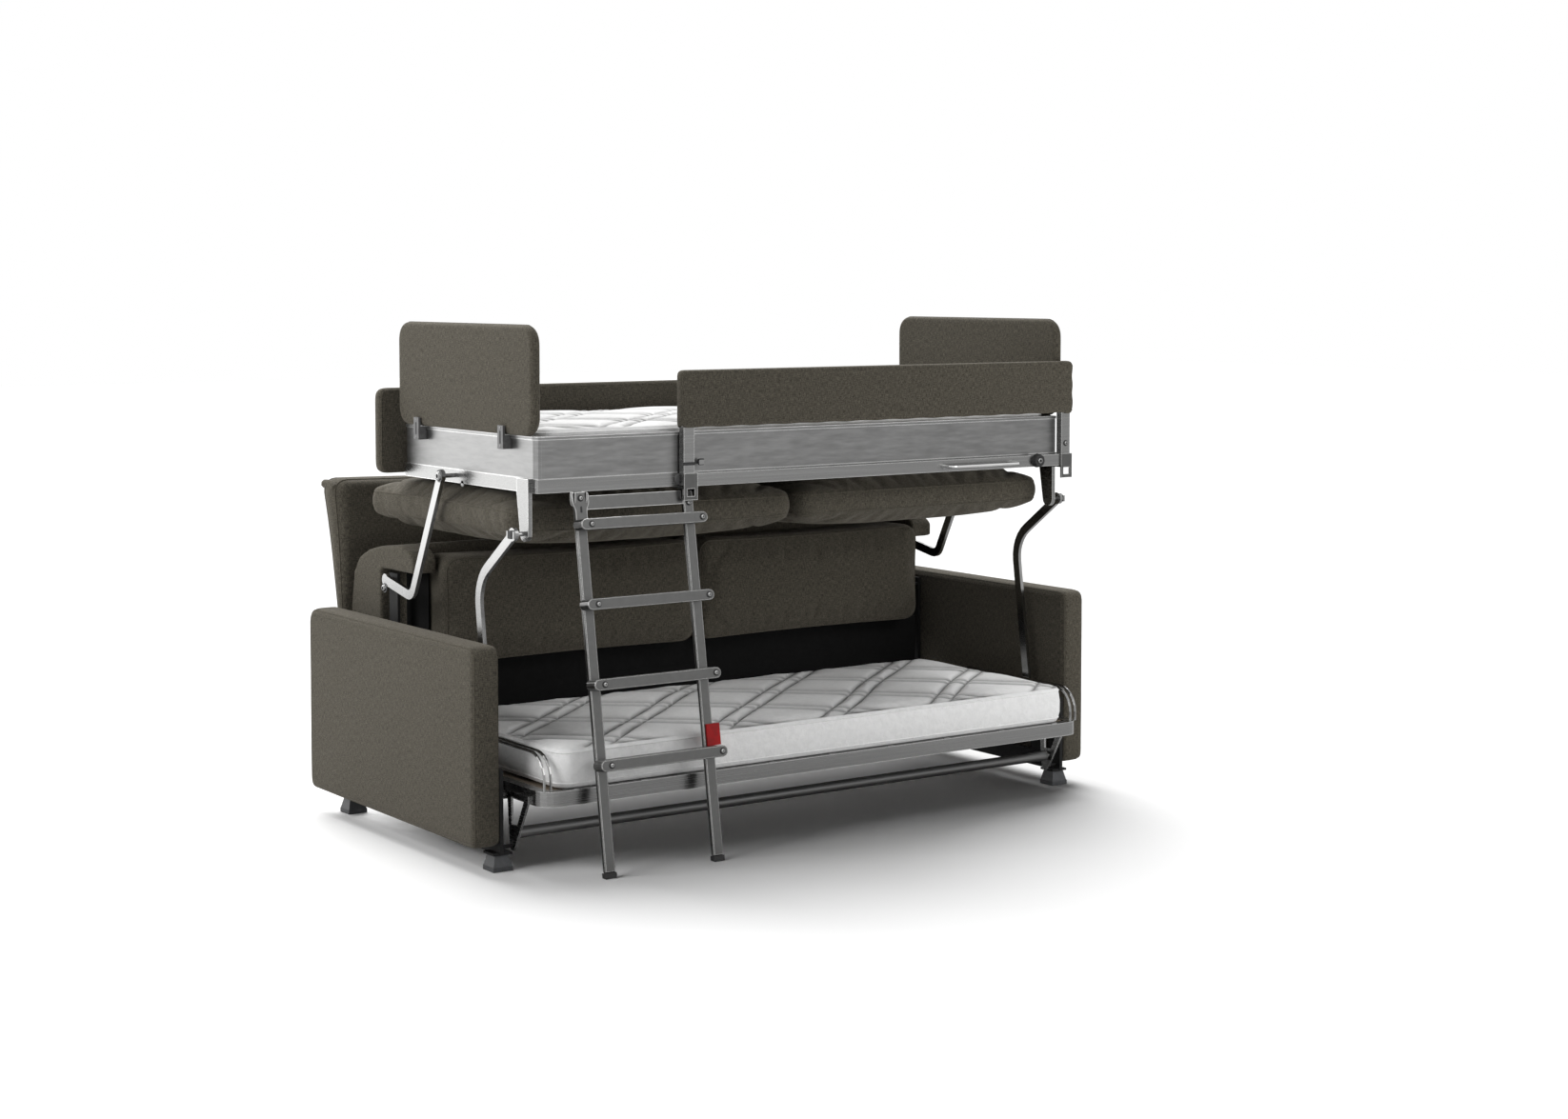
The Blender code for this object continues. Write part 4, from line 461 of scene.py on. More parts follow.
def brushed(name, colour, roughness, grain, wave, contrast, rim=EDGE_HIGHLIGHT):
    """Metal with a grain: grain scales the noise along each axis, and wave bends it; rim brightens its edges
    as a painted highlight.
    """
    made = Finish(name, roughness, 1.0)
    bend = made.times(made.math("SUBTRACT", made.streaks(made.place, GRAIN_SWAY, 3.0), 0.5), wave)
    offset = made.node("ShaderNodeCombineXYZ", {0: bend, 1: bend, 2: bend}).outputs[0]
    streak = made.streaks(made.vector("ADD", made.place, offset), grain, 4.0)
    rounded = made.node("ShaderNodeBevel", {"Radius": EDGE_HIGHLIGHT_REACH}, samples=EDGE_SAMPLES).outputs[0]
    true_normal = made.node("ShaderNodeNewGeometry").outputs["True Normal"]
    agreed = made.vector("DOT_PRODUCT", rounded, true_normal, "Value")
    # Painted highlight: the colour is brightened up to rim times where the surface rounds over an edge.
    edge = made.ramp(agreed, WHITE, (0.86, rim), (0.99, 1.0))
    tone = made.ramp(streak, colour, (0.3, 1 - contrast), (0.7, 1 + contrast))
    rough = made.level(streak, roughness - 0.06, roughness + 0.1)
    return made.done(made.vector("MULTIPLY", tone, edge), rough, streak, 0.0001)


def polished(name, colour, roughness):
    """Bright plating with faint smears."""
    made = Finish(name, roughness, 1.0)
    smear = made.noise(made.place, 14.0, 4.0, 1.2)
    tone = made.ramp(smear, colour, (0.35, 0.92), (0.65, 1.0))
    rough = made.level(smear, roughness * 0.7, roughness * 1.7)
    return made.done(tone, rough, made.noise(made.place, 160.0), 0.00005)


def moulded(name, colour, roughness, grit=700.0, depth=0.00012, sockets=()):
    """Plastic, rubber or paint with a fine grain and slight scuffs."""
    made = Finish(name, roughness, sockets=sockets)
    scuff = made.noise(made.place, 38.0, 5.0, 1.5)
    tone = made.ramp(scuff, colour, (0.35, 0.82), (0.7, 1.25))
    rough = made.level(scuff, roughness - 0.08, roughness + 0.12)
    return made.done(tone, rough, made.noise(made.place, grit), depth)


def wood(name, colour):
    """Slat wood with rings along its length."""
    made = Finish(name, 0.55)
    rings = made.streaks(made.place, (60.0, 4.0, 160.0), 5.0, 0.4)
    tone = made.ramp(rings, colour, (0.3, 0.62), (0.7, 1.15))
    return made.done(tone, made.level(rings, 0.48, 0.66), rings, 0.0003)


CLOTH = (0.0705, 0.0635, 0.0495)
LENGTHWISE = (2.5, 40.0, 420.0)
RIM_GRAIN = (16.0, 16.0, 105.0)
FINE_GRAIN = (60.0, 200.0, 60.0)

finishes = {
    "woven_cover": woven("woven_cover_weave", CLOTH),
    # The near-black lining is painted shade for the shell's recesses.
    "dark_lining": moulded("dark_lining_painted_shade", shade(WHITE, 0.008), 0.9, 500.0, 0.0004, DULL),
    "brushed_rim": brushed("brushed_rim_grain", (0.22, 0.22, 0.218), 0.34, RIM_GRAIN, 0.006, 0.15),
    "rail_steel": brushed("rail_steel_grain", (0.25, 0.25, 0.247), 0.24, LENGTHWISE, 0.002, 0.08),
    "chrome": polished("chrome_plate", (0.3, 0.3, 0.297), 0.16),
    # The ladder steel has the strongest painted highlight on its edges.
    "ladder_steel": brushed("ladder_steel_grain", (0.12, 0.12, 0.118), 0.3, FINE_GRAIN, 0.001, 0.05, 6.5),
    # Near-black frame steel: painted shade, darker than the steel is, so that the frame parts in the
    # recesses and under the bed read dark.
    "frame_steel": moulded("frame_steel_painted_shade", shade(WHITE, 0.016), 0.6, 260.0, sockets=DULL),
    "ticking": white_ticking("ticking_knit", (0.87, 0.87, 0.865)),
    "slat_wood": wood("slat_wood_ply", (0.17, 0.135, 0.1)),
    "foot_plastic": moulded("foot_plastic_grain", (0.05, 0.052, 0.055), 0.5),
    "clip_plastic": moulded("clip_plastic_grain", shade(WHITE, 0.1), 0.45),
    "black_rubber": moulded("black_rubber_grain", shade(WHITE, 0.012), 0.6),
    "red_plastic": moulded("red_plastic_gloss", (0.3, 0.002, 0.003), 0.34, 300.0, 0.00004, LACQUER),
}
bright_plate = polished("bright_plate", (0.7, 0.7, 0.695), 0.14)
satin_tube = brushed("satin_tube_grain", (0.2, 0.2, 0.198), 0.5, LENGTHWISE, 0.002, 0.06)
welt_cloth = woven("welt_cloth_weave", shade(CLOTH, 1.12), 0.7)
thread_cloth = moulded("thread_twist", shade(CLOTH, 1.5), 0.8, 900.0, 0.0003)

slot_of = {row["node"]: row["material_slot"] for row in frame["record"]["subparts"]}
for name, node in frame["nodes"].items():
    node.data.materials.clear()
    node.data.materials.append(finishes[slot_of[name]])
frame["nodes"]["pull_handle"].data.materials[0] = bright_plate


# Pieces


def add(name, data):
    """A new object in the scene."""
    obj = bpy.data.objects.new(name, data)
    bpy.context.scene.collection.objects.link(obj)
    return obj


def piece(name, mesh, body, slot, material=None):
    """A new piece on a body, drawn in the row frame."""
    mesh.name = name
    mesh.materials.clear()
    mesh.materials.append(material or finishes[slot])
    obj = add(name, mesh)
    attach(obj, body)
    return obj


def mesh_of(points, faces):
    """A smooth mesh of points and faces."""
    mesh = bpy.data.meshes.new("shape")
    mesh.from_pydata([tuple(point) for point in points], [], [tuple(face) for face in faces])
    mesh.update()
    mesh.shade_smooth()
    return mesh


def middle(low, high):
    return (np.array(low) + np.array(high)) / 2


def turn_by(across, up):
    """The turn that takes a flat shape's two directions to these, and its face to their cross."""
    across, up = Vector(across), Vector(up)
    return np.array(Matrix((across, up, across.cross(up))).transposed())


def turn_to(plane):
    """The turn that lays a flat shape in a plane, such as YZ."""
    axes = Matrix.Identity(3)
    return turn_by(*(axes["XYZ".index(name)] for name in plane))


def waves(points, amplitude, length, seed, side=0):
    """A gentle seeded unevenness, one value a point."""
    source = np.random.default_rng(seed + side)
    total = np.zeros(len(points))
    for _ in range(WAVE_COUNT):
        heading = source.normal(size=3)
        heading /= np.linalg.norm(heading)
        turns = 2 * math.pi / (length * source.uniform(0.6, 1.6))
        total += np.sin(points @ heading * turns + source.uniform(0, 2 * math.pi))
    return amplitude * total / WAVE_COUNT


def corner_place(u, v, half_u, half_v, corner):
    """Points of the square grid moved onto a rectangle with round corners."""
    x, y = u * half_u, v * half_v
    over_x = np.maximum(np.abs(x) - (half_u - corner), 0)
    over_y = np.maximum(np.abs(y) - (half_v - corner), 0)
    fit = np.maximum(over_x, over_y) / np.maximum(np.hypot(over_x, over_y), TINY)
    both = (over_x > 0) & (over_y > 0)
    x = np.where(both, np.copysign(half_u - corner + over_x * fit, x), x)
    y = np.where(both, np.copysign(half_v - corner + over_y * fit, y), y)
    return x, y


def round_edge(radius, thickness):
    """Insets and heights of the rings down a slab with both edges rounded alike."""
    upper = [
        (radius * (1 - math.sin(turn)), thickness - radius * (1 - math.cos(turn)))
        for turn in np.linspace(0, math.pi / 2, EDGE_STEPS + 1)
    ]
    return upper + [(inset, thickness - height) for inset, height in reversed(upper)]


class Pad:
    """A stuffed slab: two gridded faces joined by the rings of its sides."""

    def __init__(self, half_u, half_v, corner, cell, rings, draw=0.0, pinch=0.0):
        self.half = (half_u, half_v)
        self.corner = corner
        self.rings = rings
        self.draw = draw
        self.pinch = pinch
        self.thickness = rings[0][1]
        self.count = tuple(max(4, round(2 * half / cell)) for half in self.half)
        lines = [np.linspace(-1, 1, count + 1) for count in self.count]
        self.u, self.v = (part.ravel() for part in np.meshgrid(*lines, indexing="ij"))
        self.dome = (1 - np.abs(self.u) ** 3) * (1 - np.abs(self.v) ** 3)
        columns, rows = self.count
        loop = [(i, 0) for i in range(columns)] + [(columns, j) for j in range(rows)]
        loop += [(i, rows) for i in range(columns, 0, -1)] + [(0, j) for j in range(rows, 0, -1)]
        self.loop = np.array([i * (rows + 1) + j for i, j in loop])

    def corners(self, u, v):
        if np.isscalar(self.corner):
            return self.corner
        low_front, low_rear, high_rear, high_front = self.corner
        return np.where(v > 0, np.where(u > 0, high_rear, high_front), np.where(u > 0, low_rear, low_front))

    def place(self, u, v, inset, height):
        pull_u = inset + self.draw * (1 - v * v)
        pull_v = inset + self.draw * (1 - u * u)
        corner = np.maximum(self.corners(u, v) - inset, STAND_OFF)
        x, y = corner_place(u, v, self.half[0] - pull_u, self.half[1] - pull_v, corner)
        z = np.full(len(x), height)
        z += (self.thickness / 2 - z) * self.pinch * np.abs(u * v) ** 4
        return np.stack([x, y, z], axis=1)

    def build(self, high=0.0, low=0.0, relief=None):
        """Points and faces, with crowned faces and a relief on the upper one."""
        top = self.place(self.u, self.v, *self.rings[0])
        bottom = self.place(self.u, self.v, *self.rings[-1])
        top[:, 2] += high * self.dome
        bottom[:, 2] -= low * self.dome
        if relief:
            top[:, 2] += relief(top[:, 0], top[:, 1])
        sides = [
            self.place(self.u[self.loop], self.v[self.loop], *ring) for ring in self.rings[1:-1]
        ]
        grid, around = len(top), len(self.loop)
        starts = [2 * grid + step * around for step in range(len(sides))]
        self.ring_index = [self.loop] + [start + np.arange(around) for start in starts]
        self.ring_index.append(self.loop + grid)
        columns, rows = self.count
        i, j = np.meshgrid(range(columns), range(rows), indexing="ij")
        first = (i * (rows + 1) + j).ravel()
        quads = np.stack([first, first + rows + 1, first + rows + 2, first + 1], axis=1)
        faces = [quads, quads[:, ::-1] + grid]
        for upper, lower in zip(self.ring_index, self.ring_index[1:]):
            faces.append(np.stack([upper, lower, np.roll(lower, -1), np.roll(upper, -1)], axis=1))
        self.top_index = np.arange(grid)
        self.faces = np.concatenate(faces)
        return np.concatenate([top, bottom] + sides)

    def ring_at(self, points, ring):
        return points[self.ring_index[ring]]


THICK_AXIS = {"YZ": 0, "XZ": 1, "XY": 2}


def pad_over(node, plane, *form):
    """A pad as wide and high as a CAD node's box, to lie in a plane."""
    low, high = (np.array(corner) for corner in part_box(node))
    half_u, half_v = ((high - low)["XYZ".index(axis)] / 2 for axis in plane)
    return Pad(half_u, half_v, *form)


def stand(points, plane, node, start):
    """Points of a flat shape stood over the middle of a node's box, from a start on its thickness."""
    at = middle(*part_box(node))
    at[THICK_AXIS[plane]] = start
    return points @ turn_to(plane).T + at


def line(name, points, radius, body, slot, closed=True, material=None):
    """A round cord, welt or wire along points, as a mesh."""
    points = np.asarray(points, float)
    ahead = np.roll(points, -1, axis=0) - np.roll(points, 1, axis=0)
    if not closed:
        ahead[0] = points[1] - points[0]
        ahead[-1] = points[-1] - points[-2]
    ahead /= np.maximum(np.linalg.norm(ahead, axis=1, keepdims=True), TINY)
    normals = np.empty_like(points)
    seed = np.cross(ahead[0], (0.31, 0.52, 0.79))
    for index, heading in enumerate(ahead):
        seed = seed - heading * (seed @ heading)
        seed /= np.linalg.norm(seed)
        normals[index] = seed
    beside = np.cross(ahead, normals)
    rounds = []
    for step in range(LINE_SIDES):
        turn = 2 * math.pi * step / LINE_SIDES
        rounds.append(points + radius * (math.cos(turn) * normals + math.sin(turn) * beside))
    verts = np.stack(rounds, axis=1).reshape(-1, 3)
    count = len(points)
    faces = []
    for index in range(count if closed else count - 1):
        here, there = index * LINE_SIDES, (index + 1) % count * LINE_SIDES
        for step in range(LINE_SIDES):
            other = (step + 1) % LINE_SIDES
            faces.append((here + step, here + other, there + other, there + step))
    if not closed:
        faces.append(range(LINE_SIDES - 1, -1, -1))
        faces.append(range((count - 1) * LINE_SIDES, count * LINE_SIDES))
    return piece(name, mesh_of(verts, faces), body, slot, material)


def welt(name, pad, points, ring, body, width=WELT, slot="woven_cover"):
    """A piped seam along one ring of a pad's side."""
    material = welt_cloth if slot == "woven_cover" else None
    line(name, pad.ring_at(points, ring), width / 2, body, slot, material=material)


def walk(points, pitch, closed=False):
    """Places at an even pitch along a line of points, with the heading at each."""
    points = np.asarray(points, float)
    if closed:
        points = np.concatenate([points, points[:1]])
    steps = np.linalg.norm(np.diff(points, axis=0), axis=1)
    far = np.concatenate([[0], np.cumsum(steps)])
    marks = np.arange(pitch / 2, far[-1], pitch)
    spots, beyond = (
        np.stack([np.interp(places, far, points[:, axis]) for axis in range(3)], axis=1)
        for places in (marks, marks + pitch / 8)
    )
    ahead = beyond - spots
    return spots, ahead / np.maximum(np.linalg.norm(ahead, axis=1, keepdims=True), TINY)


def stitches(name, points, outward, body, closed=False):
    """A row of sewn stitches along a line, each a small grain of thread."""
    outward = np.array(outward, float)
    verts, faces = [], []
    for spot, heading in zip(*walk(points, STITCH_PITCH, closed)):
        side = np.cross(heading, outward)
        side /= max(np.linalg.norm(side), TINY)
        rise = np.cross(side, heading)
        start = len(verts)
        for share, width in STITCH_FORM:
            centre = spot + heading * share * STITCH_LENGTH / 2
            for step in range(STITCH_SIDES):
                turn = 2 * math.pi * step / STITCH_SIDES
                arm = math.cos(turn) * side + math.sin(turn) * rise
                verts.append(centre + THREAD * width * arm)
        for row in range(len(STITCH_FORM) - 1):
            low = start + row * STITCH_SIDES
            for step in range(STITCH_SIDES):
                other, above = (step + 1) % STITCH_SIDES, low + STITCH_SIDES
                faces.append((low + step, above + step, above + other, low + other))
    piece(name, mesh_of(verts, faces), body, "woven_cover", thread_cloth)


def fitting(name, bm, turn, at, body, slot):
    """A finished fitting, turned and moved to its place."""
    bmesh.ops.transform(bm, matrix=Matrix.Translation(Vector(at)) @ turn.to_4x4(), verts=bm.verts[:])
    mesh = bpy.data.meshes.new(name)
    bm.to_mesh(mesh)
    bm.free()
    mesh.shade_smooth()
    mesh.set_sharp_from_angle(angle=math.radians(CREASE_ANGLE))
    return piece(name, mesh, body, slot)


def turned(name, at, heading, profile, body, slot, socket=0.0, sides=24):
    """A lathed fastening: profile of (height, radius) along its heading, with a hex socket."""
    bm = bmesh.new()
    turns = [2 * math.pi * step / sides for step in range(sides)]
    rings = [
        [bm.verts.new((radius * math.cos(turn), radius * math.sin(turn), height)) for turn in turns]
        for height, radius in profile
    ]
    if socket:
        top, sixth = profile[-1][0], math.pi / 3
        corners = [(turn + sixth / 2) % sixth - sixth / 2 for turn in turns]
        reaches = [socket * math.cos(sixth / 2) / math.cos(corner) for corner in corners]
        for height in (top, top - socket * SOCKET_DEPTH):
            rings.append([
                bm.verts.new((reach * math.cos(turn), reach * math.sin(turn), height))
                for turn, reach in zip(turns, reaches)
            ])
    for ring, following in zip(rings, rings[1:]):
        for step in range(sides):
            other = (step + 1) % sides
            bm.faces.new((ring[step], ring[other], following[other], following[step]))
    bm.faces.new(reversed(rings[0]))
    bm.faces.new(rings[-1])
    bmesh.ops.recalc_face_normals(bm, faces=bm.faces[:])
    turn = Vector(heading).to_track_quat("Z", "Y").to_matrix()
    return fitting(name, bm, turn, at, body, slot)


def scaled(form, height, radius):
    return [(height * up, radius * out) for up, out in form]


def bolt(name, at, heading, radius, body, rise=None):
    """A button-headed bolt with a hex socket."""
    profile = scaled(BOLT_FORM, rise or radius * BOLT_RISE, radius)
    turned(name, at, heading, profile, body, "chrome", radius * BOLT_SOCKET)


def washer(name, at, heading, radius, body, slot="black_rubber", rise=RING_RISE):
    turned(name, at, heading, scaled(RING_FORM, rise, radius), body, slot)


def ringed_bolt(name, at, heading, body):
    washer(f"{name}_ring", at, heading, BOLT_RING, body)
    bolt(name, at + heading.normalized() * BOLT_LIFT, heading, BOLT, body)


def slab(name, outline, turn, at, thickness, body, slot, edge=BEVEL):
    """A flat outline with thickness and bevelled edges, turned and moved to its place."""
    bm = bmesh.new()
    face = bm.faces.new([bm.verts.new((across, up, 0)) for across, up in outline])
    made = bmesh.ops.extrude_face_region(bm, geom=[face])["geom"]
    raised = [part for part in made if isinstance(part, bmesh.types.BMVert)]
    bmesh.ops.translate(bm, vec=(0, 0, thickness), verts=raised)
    bmesh.ops.recalc_face_normals(bm, faces=bm.faces[:])
    if edge:
        bmesh.ops.bevel(bm, geom=bm.edges[:], offset=edge, segments=2, affect="EDGES", clamp_overlap=True)
    fitting(name, bm, Matrix(np.asarray(turn).tolist()), at, body, slot)


def rounded_outline(half_u, half_v, corner):
    points = []
    for turn, (sign_u, sign_v) in enumerate(((1, 1), (-1, 1), (-1, -1), (1, -1))):
        for step in range(OUTLINE_STEPS + 1):
            angle = math.pi / 2 * (turn + step / OUTLINE_STEPS)
            points.append((
                sign_u * (half_u - corner) + corner * math.cos(angle),
                sign_v * (half_v - corner) + corner * math.sin(angle),
            ))
    return points


def eased(points, radius):
    """An outline with its corners rounded."""
    made = []
    for index, corner in enumerate(points):
        corner = np.array(corner, float)
        before = np.array(points[index - 1], float) - corner
        after = np.array(points[(index + 1) % len(points)], float) - corner
        start = corner + before * min(0.49, radius / np.linalg.norm(before))
        end = corner + after * min(0.49, radius / np.linalg.norm(after))
        for share in np.linspace(0, 1, EASE_STEPS + 1):
            made.append((1 - share) ** 2 * start + 2 * share * (1 - share) * corner + share ** 2 * end)
    return made


def simulate(obj, held, growth, cap):
    """Stuff a closed cover: it swells under pressure between the points that are held."""
    rest = np.array([vert.co for vert in obj.data.vertices])
    group = obj.vertex_groups.new(name="held")
    group.add([int(index) for index in held], 1.0, "REPLACE")
    modifier = obj.modifiers.new("stuffing", "CLOTH")
    cloth = modifier.settings
    for key, value in CLOTH_SETTINGS.items():
        setattr(cloth, key, value)
    cloth.shrink_min = -growth
    cloth.effector_weights.gravity = 0.0
    modifier.collision_settings.use_collision = False
    modifier.point_cache.frame_start, modifier.point_cache.frame_end = 1, SIM_FRAMES
    for step in range(1, SIM_FRAMES + 1):
        bpy.context.scene.frame_set(step)
    swollen = obj.evaluated_get(bpy.context.evaluated_depsgraph_get())
    points = np.empty(len(rest) * 3, np.float32)
    swollen.to_mesh().vertices.foreach_get("co", points)
    swollen.to_mesh_clear()
    obj.modifiers.remove(modifier)
    obj.vertex_groups.clear()
    bpy.context.scene.frame_set(1)
    shift = points.reshape(-1, 3) - rest
    far = np.linalg.norm(shift, axis=1, keepdims=True)
    return rest + shift * np.minimum(1.0, cap / np.maximum(far, TINY))


def subdivide(obj):
    modifier = obj.modifiers.new("finer", "SUBSURF")
    modifier.levels = modifier.render_levels = 1


def soft(node, pad, points, body, slot="woven_cover", ending="cover"):
    """The cover of a pad as a piece that stands in for its CAD node, which is hidden."""
    obj = piece(f"{node}_{ending}", mesh_of(points, pad.faces), body, slot)
    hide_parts(node)
    return obj


# Boards: armrests, headboards and apron


def board_cover(name, plane, body, corner, rings, crowns, start, uneven):
    """The tight cover of a board, with crowns on its low and high faces."""
    pad = pad_over(name, plane, corner, PANEL_CELL, rings)
    flat = pad.build(low=crowns[0], high=crowns[1])
    flat[:, 2] += waves(flat, *uneven)
    points = stand(flat, plane, name, start)
    subdivide(soft(name, pad, points, body))
    return pad, points


def build_armrest(side):
    name = f"armrest_{SIDES[side]}"
    low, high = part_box(name)
    crowns = (ARMREST_CROWN, 0.0) if side < 0 else (0.0, ARMREST_CROWN)
    rings = round_edge(ARMREST_EDGE, high.x - low.x - STAND_OFF)
    uneven = (*ARMREST_WAVES, side)
    pad, points = board_cover(name, "YZ", "base", ARMREST_CORNERS, rings, crowns, low.x + crowns[0], uneven)
    for label, out, rim, seam in (("right", 1, 0, 2), ("left", -1, -1, -3)):
        welt(f"{name}_welt_{label}", pad, points, seam, "base", FINE_WELT)
        outward = np.array((out, 0, 0))
        row = pad.ring_at(points, rim) + outward * THREAD / 2
        stitches(f"{name}_stitches_{label}", row, outward, "base", True)


def build_headboard(side):
    name = f"headboard_{SIDES[side]}"
    low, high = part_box(name)
    crown = HEADBOARD_CROWN
    rings = round_edge(HEADBOARD_EDGE, high.x - low.x - 2 * crown)
    uneven = (*HEADBOARD_WAVES, side)
    crowns, start = (crown, crown), low.x + crown
    pad, points = board_cover(name, "YZ", name, HEADBOARD_CORNER, rings, crowns, start, uneven)
    welt(f"{name}_welt", pad, points, EDGE_STEPS, name, FINE_WELT)


def build_apron():
    low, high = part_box("rear_guard")
    rings = round_edge(APRON_EDGE, high.y - low.y - 2 * APRON_CROWN)
    crowns, start = (APRON_CROWN, APRON_CROWN), high.y - APRON_CROWN
    pad, points = board_cover(
        "rear_guard", "XZ", "upper_bed", APRON_CORNER, rings, crowns, start, APRON_WAVES
    )
    welt("rear_guard_welt", pad, points, 1, "upper_bed", FINE_WELT)


# Seat and back cushions


def stuff(obj, points, held, stuffing, axis, limits, uneven):
    """Swells a cushion's cover within limits on an axis, and leaves it slightly uneven."""
    points = simulate(obj, held, *stuffing)
    points[:, axis] = np.clip(points[:, axis], *limits)
    lift = waves(points, *uneven)
    lift[held] = 0
    points[:, axis] += lift
    obj.data.vertices.foreach_set("co", points.astype(np.float32).ravel())
    obj.data.update()
    subdivide(obj)
    return points


def build_seat_cushion(side):
    name = f"seat_cushion_{SIDES[side]}"
    low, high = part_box(name)
    edge, border, bulge = SEAT_EDGE, SEAT_BORDER, SEAT_BULGE
    rings = [
        (edge, border), (edge * 0.35, border - 0.003), (0.001, border - 0.012),
        (-bulge, border * 0.66), (-bulge, border * 0.34),
        (0.001, 0.012), (edge * 0.35, 0.003), (edge, 0.0),
    ]
    rings = [(inset + bulge, height) for inset, height in rings]
    pad = pad_over(name, "XY", SEAT_CORNER, SEAT_CELL, rings, SEAT_DRAW, SEAT_PINCH)
    flat = pad.build(high=SEAT_CROWN_ABOVE * SEAT_CROWN_START, low=SEAT_CROWN_BELOW * SEAT_CROWN_START)
    points = stand(flat, "XY", name, low.z + SEAT_CROWN_BELOW + CLEARANCE)
    obj = soft(name, pad, points, "upper_bed")
    held = np.concatenate([pad.ring_index[2], pad.ring_index[5]])
    limits = (low.z + STAND_OFF, high.z - STAND_OFF)
    points = stuff(obj, points, held, SEAT_STUFFING, 2, limits, (*SEAT_WAVES, side))
    for label, ring in (("upper", 2), ("lower", 5)):
        welt(f"{name}_welt_{label}", pad, points, ring, "upper_bed")


def build_back_cushion(side):
    name = f"back_cushion_{SIDES[side]}"
    low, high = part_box(name)
    edge, thickness = BACK_EDGE, high.y - low.y - BACK_CROWN
    rings = [
        (edge, thickness), (edge * 0.55, thickness - 0.003), (edge * 0.2, thickness - 0.011),
        (0.0, thickness - 0.026), (0.0, thickness * 0.5), (0.0, 0.02), (edge * 0.5, 0.0),
    ]
    pad = pad_over(name, "XZ", BACK_CORNER, BACK_CELL, rings, BACK_DRAW)
    points = stand(pad.build(high=BACK_CROWN * BACK_CROWN_START), "XZ", name, high.y)
    obj = soft(name, pad, points, "base")
    rear = pad.top_index + len(pad.top_index)
    held = np.concatenate([pad.ring_index[2], *pad.ring_index[4:], rear])
    limits = (low.y - BACK_PROUD, np.inf)
    points = stuff(obj, points, held, BACK_STUFFING, 1, limits, (*BACK_WAVES, side))
    welt(f"{name}_welt", pad, points, 2, "base")


# Back of the sofa


def build_shell():
    """The shell's cover, softened from its solid."""
    obj = piece("back_shell_cover", frame["nodes"]["back_shell"].data.copy(), "base", "woven_cover")
    modifier = obj.modifiers.new("even", "REMESH")
    modifier.mode = "VOXEL"
    modifier.voxel_size = SHELL_VOXEL
    modifier = obj.modifiers.new("soften", "SMOOTH")
    modifier.factor = SHELL_SMOOTH_FACTOR
    modifier.iterations = SHELL_SMOOTH
    bpy.context.view_layer.update()
    graph = bpy.context.evaluated_depsgraph_get()
    cover = bpy.data.meshes.new_from_object(obj.evaluated_get(graph))
    obj.modifiers.clear()
    obj.data = cover
    cover.materials.clear()
    cover.materials.append(finishes["woven_cover"])
    cover.shade_smooth()
    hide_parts("back_shell")


def build_bolster():
    """A tapered cushion behind the shell that swells towards its pinched top."""
    low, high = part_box("back_bolster")
    half_x, half_z = (high.x - low.x) / 2, (high.z - low.z) / 2
    pad = Pad(half_x, half_z, BOLSTER_CORNER, BOLSTER_CELL, [(share, share) for share in BOLSTER_RINGS])

    def form(u, v, inset, height):
        share, across = (v + 1) / 2, 1 - height
        depth = BOLSTER_FOOT + (BOLSTER_HEAD - BOLSTER_FOOT) * share
        inset = depth * BOLSTER_PINCH * (1 - math.sin(math.pi * across) ** 0.5)
        x, z = corner_place(u, v, half_x - inset, half_z - inset * 0.5, BOLSTER_CORNER - inset * 0.8)
        y = low.y + BOLSTER_LEAN * share ** 2 + depth * across
        crease = BOLSTER_CREASE * share * (1 - u * u) * np.maximum(v, 0)
        return np.stack([x, y, z + half_z + low.z - crease], axis=1)

    pad.place = form
    points = pad.build()
    points[pad.top_index, 1] += BOLSTER_CROWN * pad.dome * (pad.v + 1) / 2
    points[:, 1] += waves(points, *BOLSTER_WAVES_DEEP)
    points[:, 2] += waves(points, *BOLSTER_WAVES_HIGH)
    subdivide(soft("back_bolster", pad, points, "base"))
    for label, ring in (("rear", 2), ("front", 6)):
        welt(f"back_bolster_welt_{label}", pad, points, ring, "base")


# Mattresses


def seam_distance(x, y):
    """How far a place is from the nearest of the paired diagonal seams."""
    a = (x - QUILT_START[0]) / QUILT_PERIOD[0]
    b = (y - QUILT_START[1]) / QUILT_PERIOD[1]
    b = b + SWAY_X[0] * np.sin(x * SWAY_X[1]) + SWAY_Y[0] * np.sin(y * SWAY_Y[1] + x * SWAY_SLANT)
    away = [
        np.abs((family + shift + 0.5) % 1.0 - 0.5) * QUILT_SPREAD
        for family in (a + b, a - b) for shift in QUILT_PAIR
    ]
    return np.min(away, axis=0)


def quilt(x, y):
    """Height of the puffs between the seams."""
    away = seam_distance(x, y)
    puff = QUILT_PUFF * (1 - np.exp(-away / QUILT_REACH)) + QUILT_SWELL * (1 - np.exp(-away / SWELL_REACH))
    return puff - QUILT_PUFF - QUILT_SWELL / 2


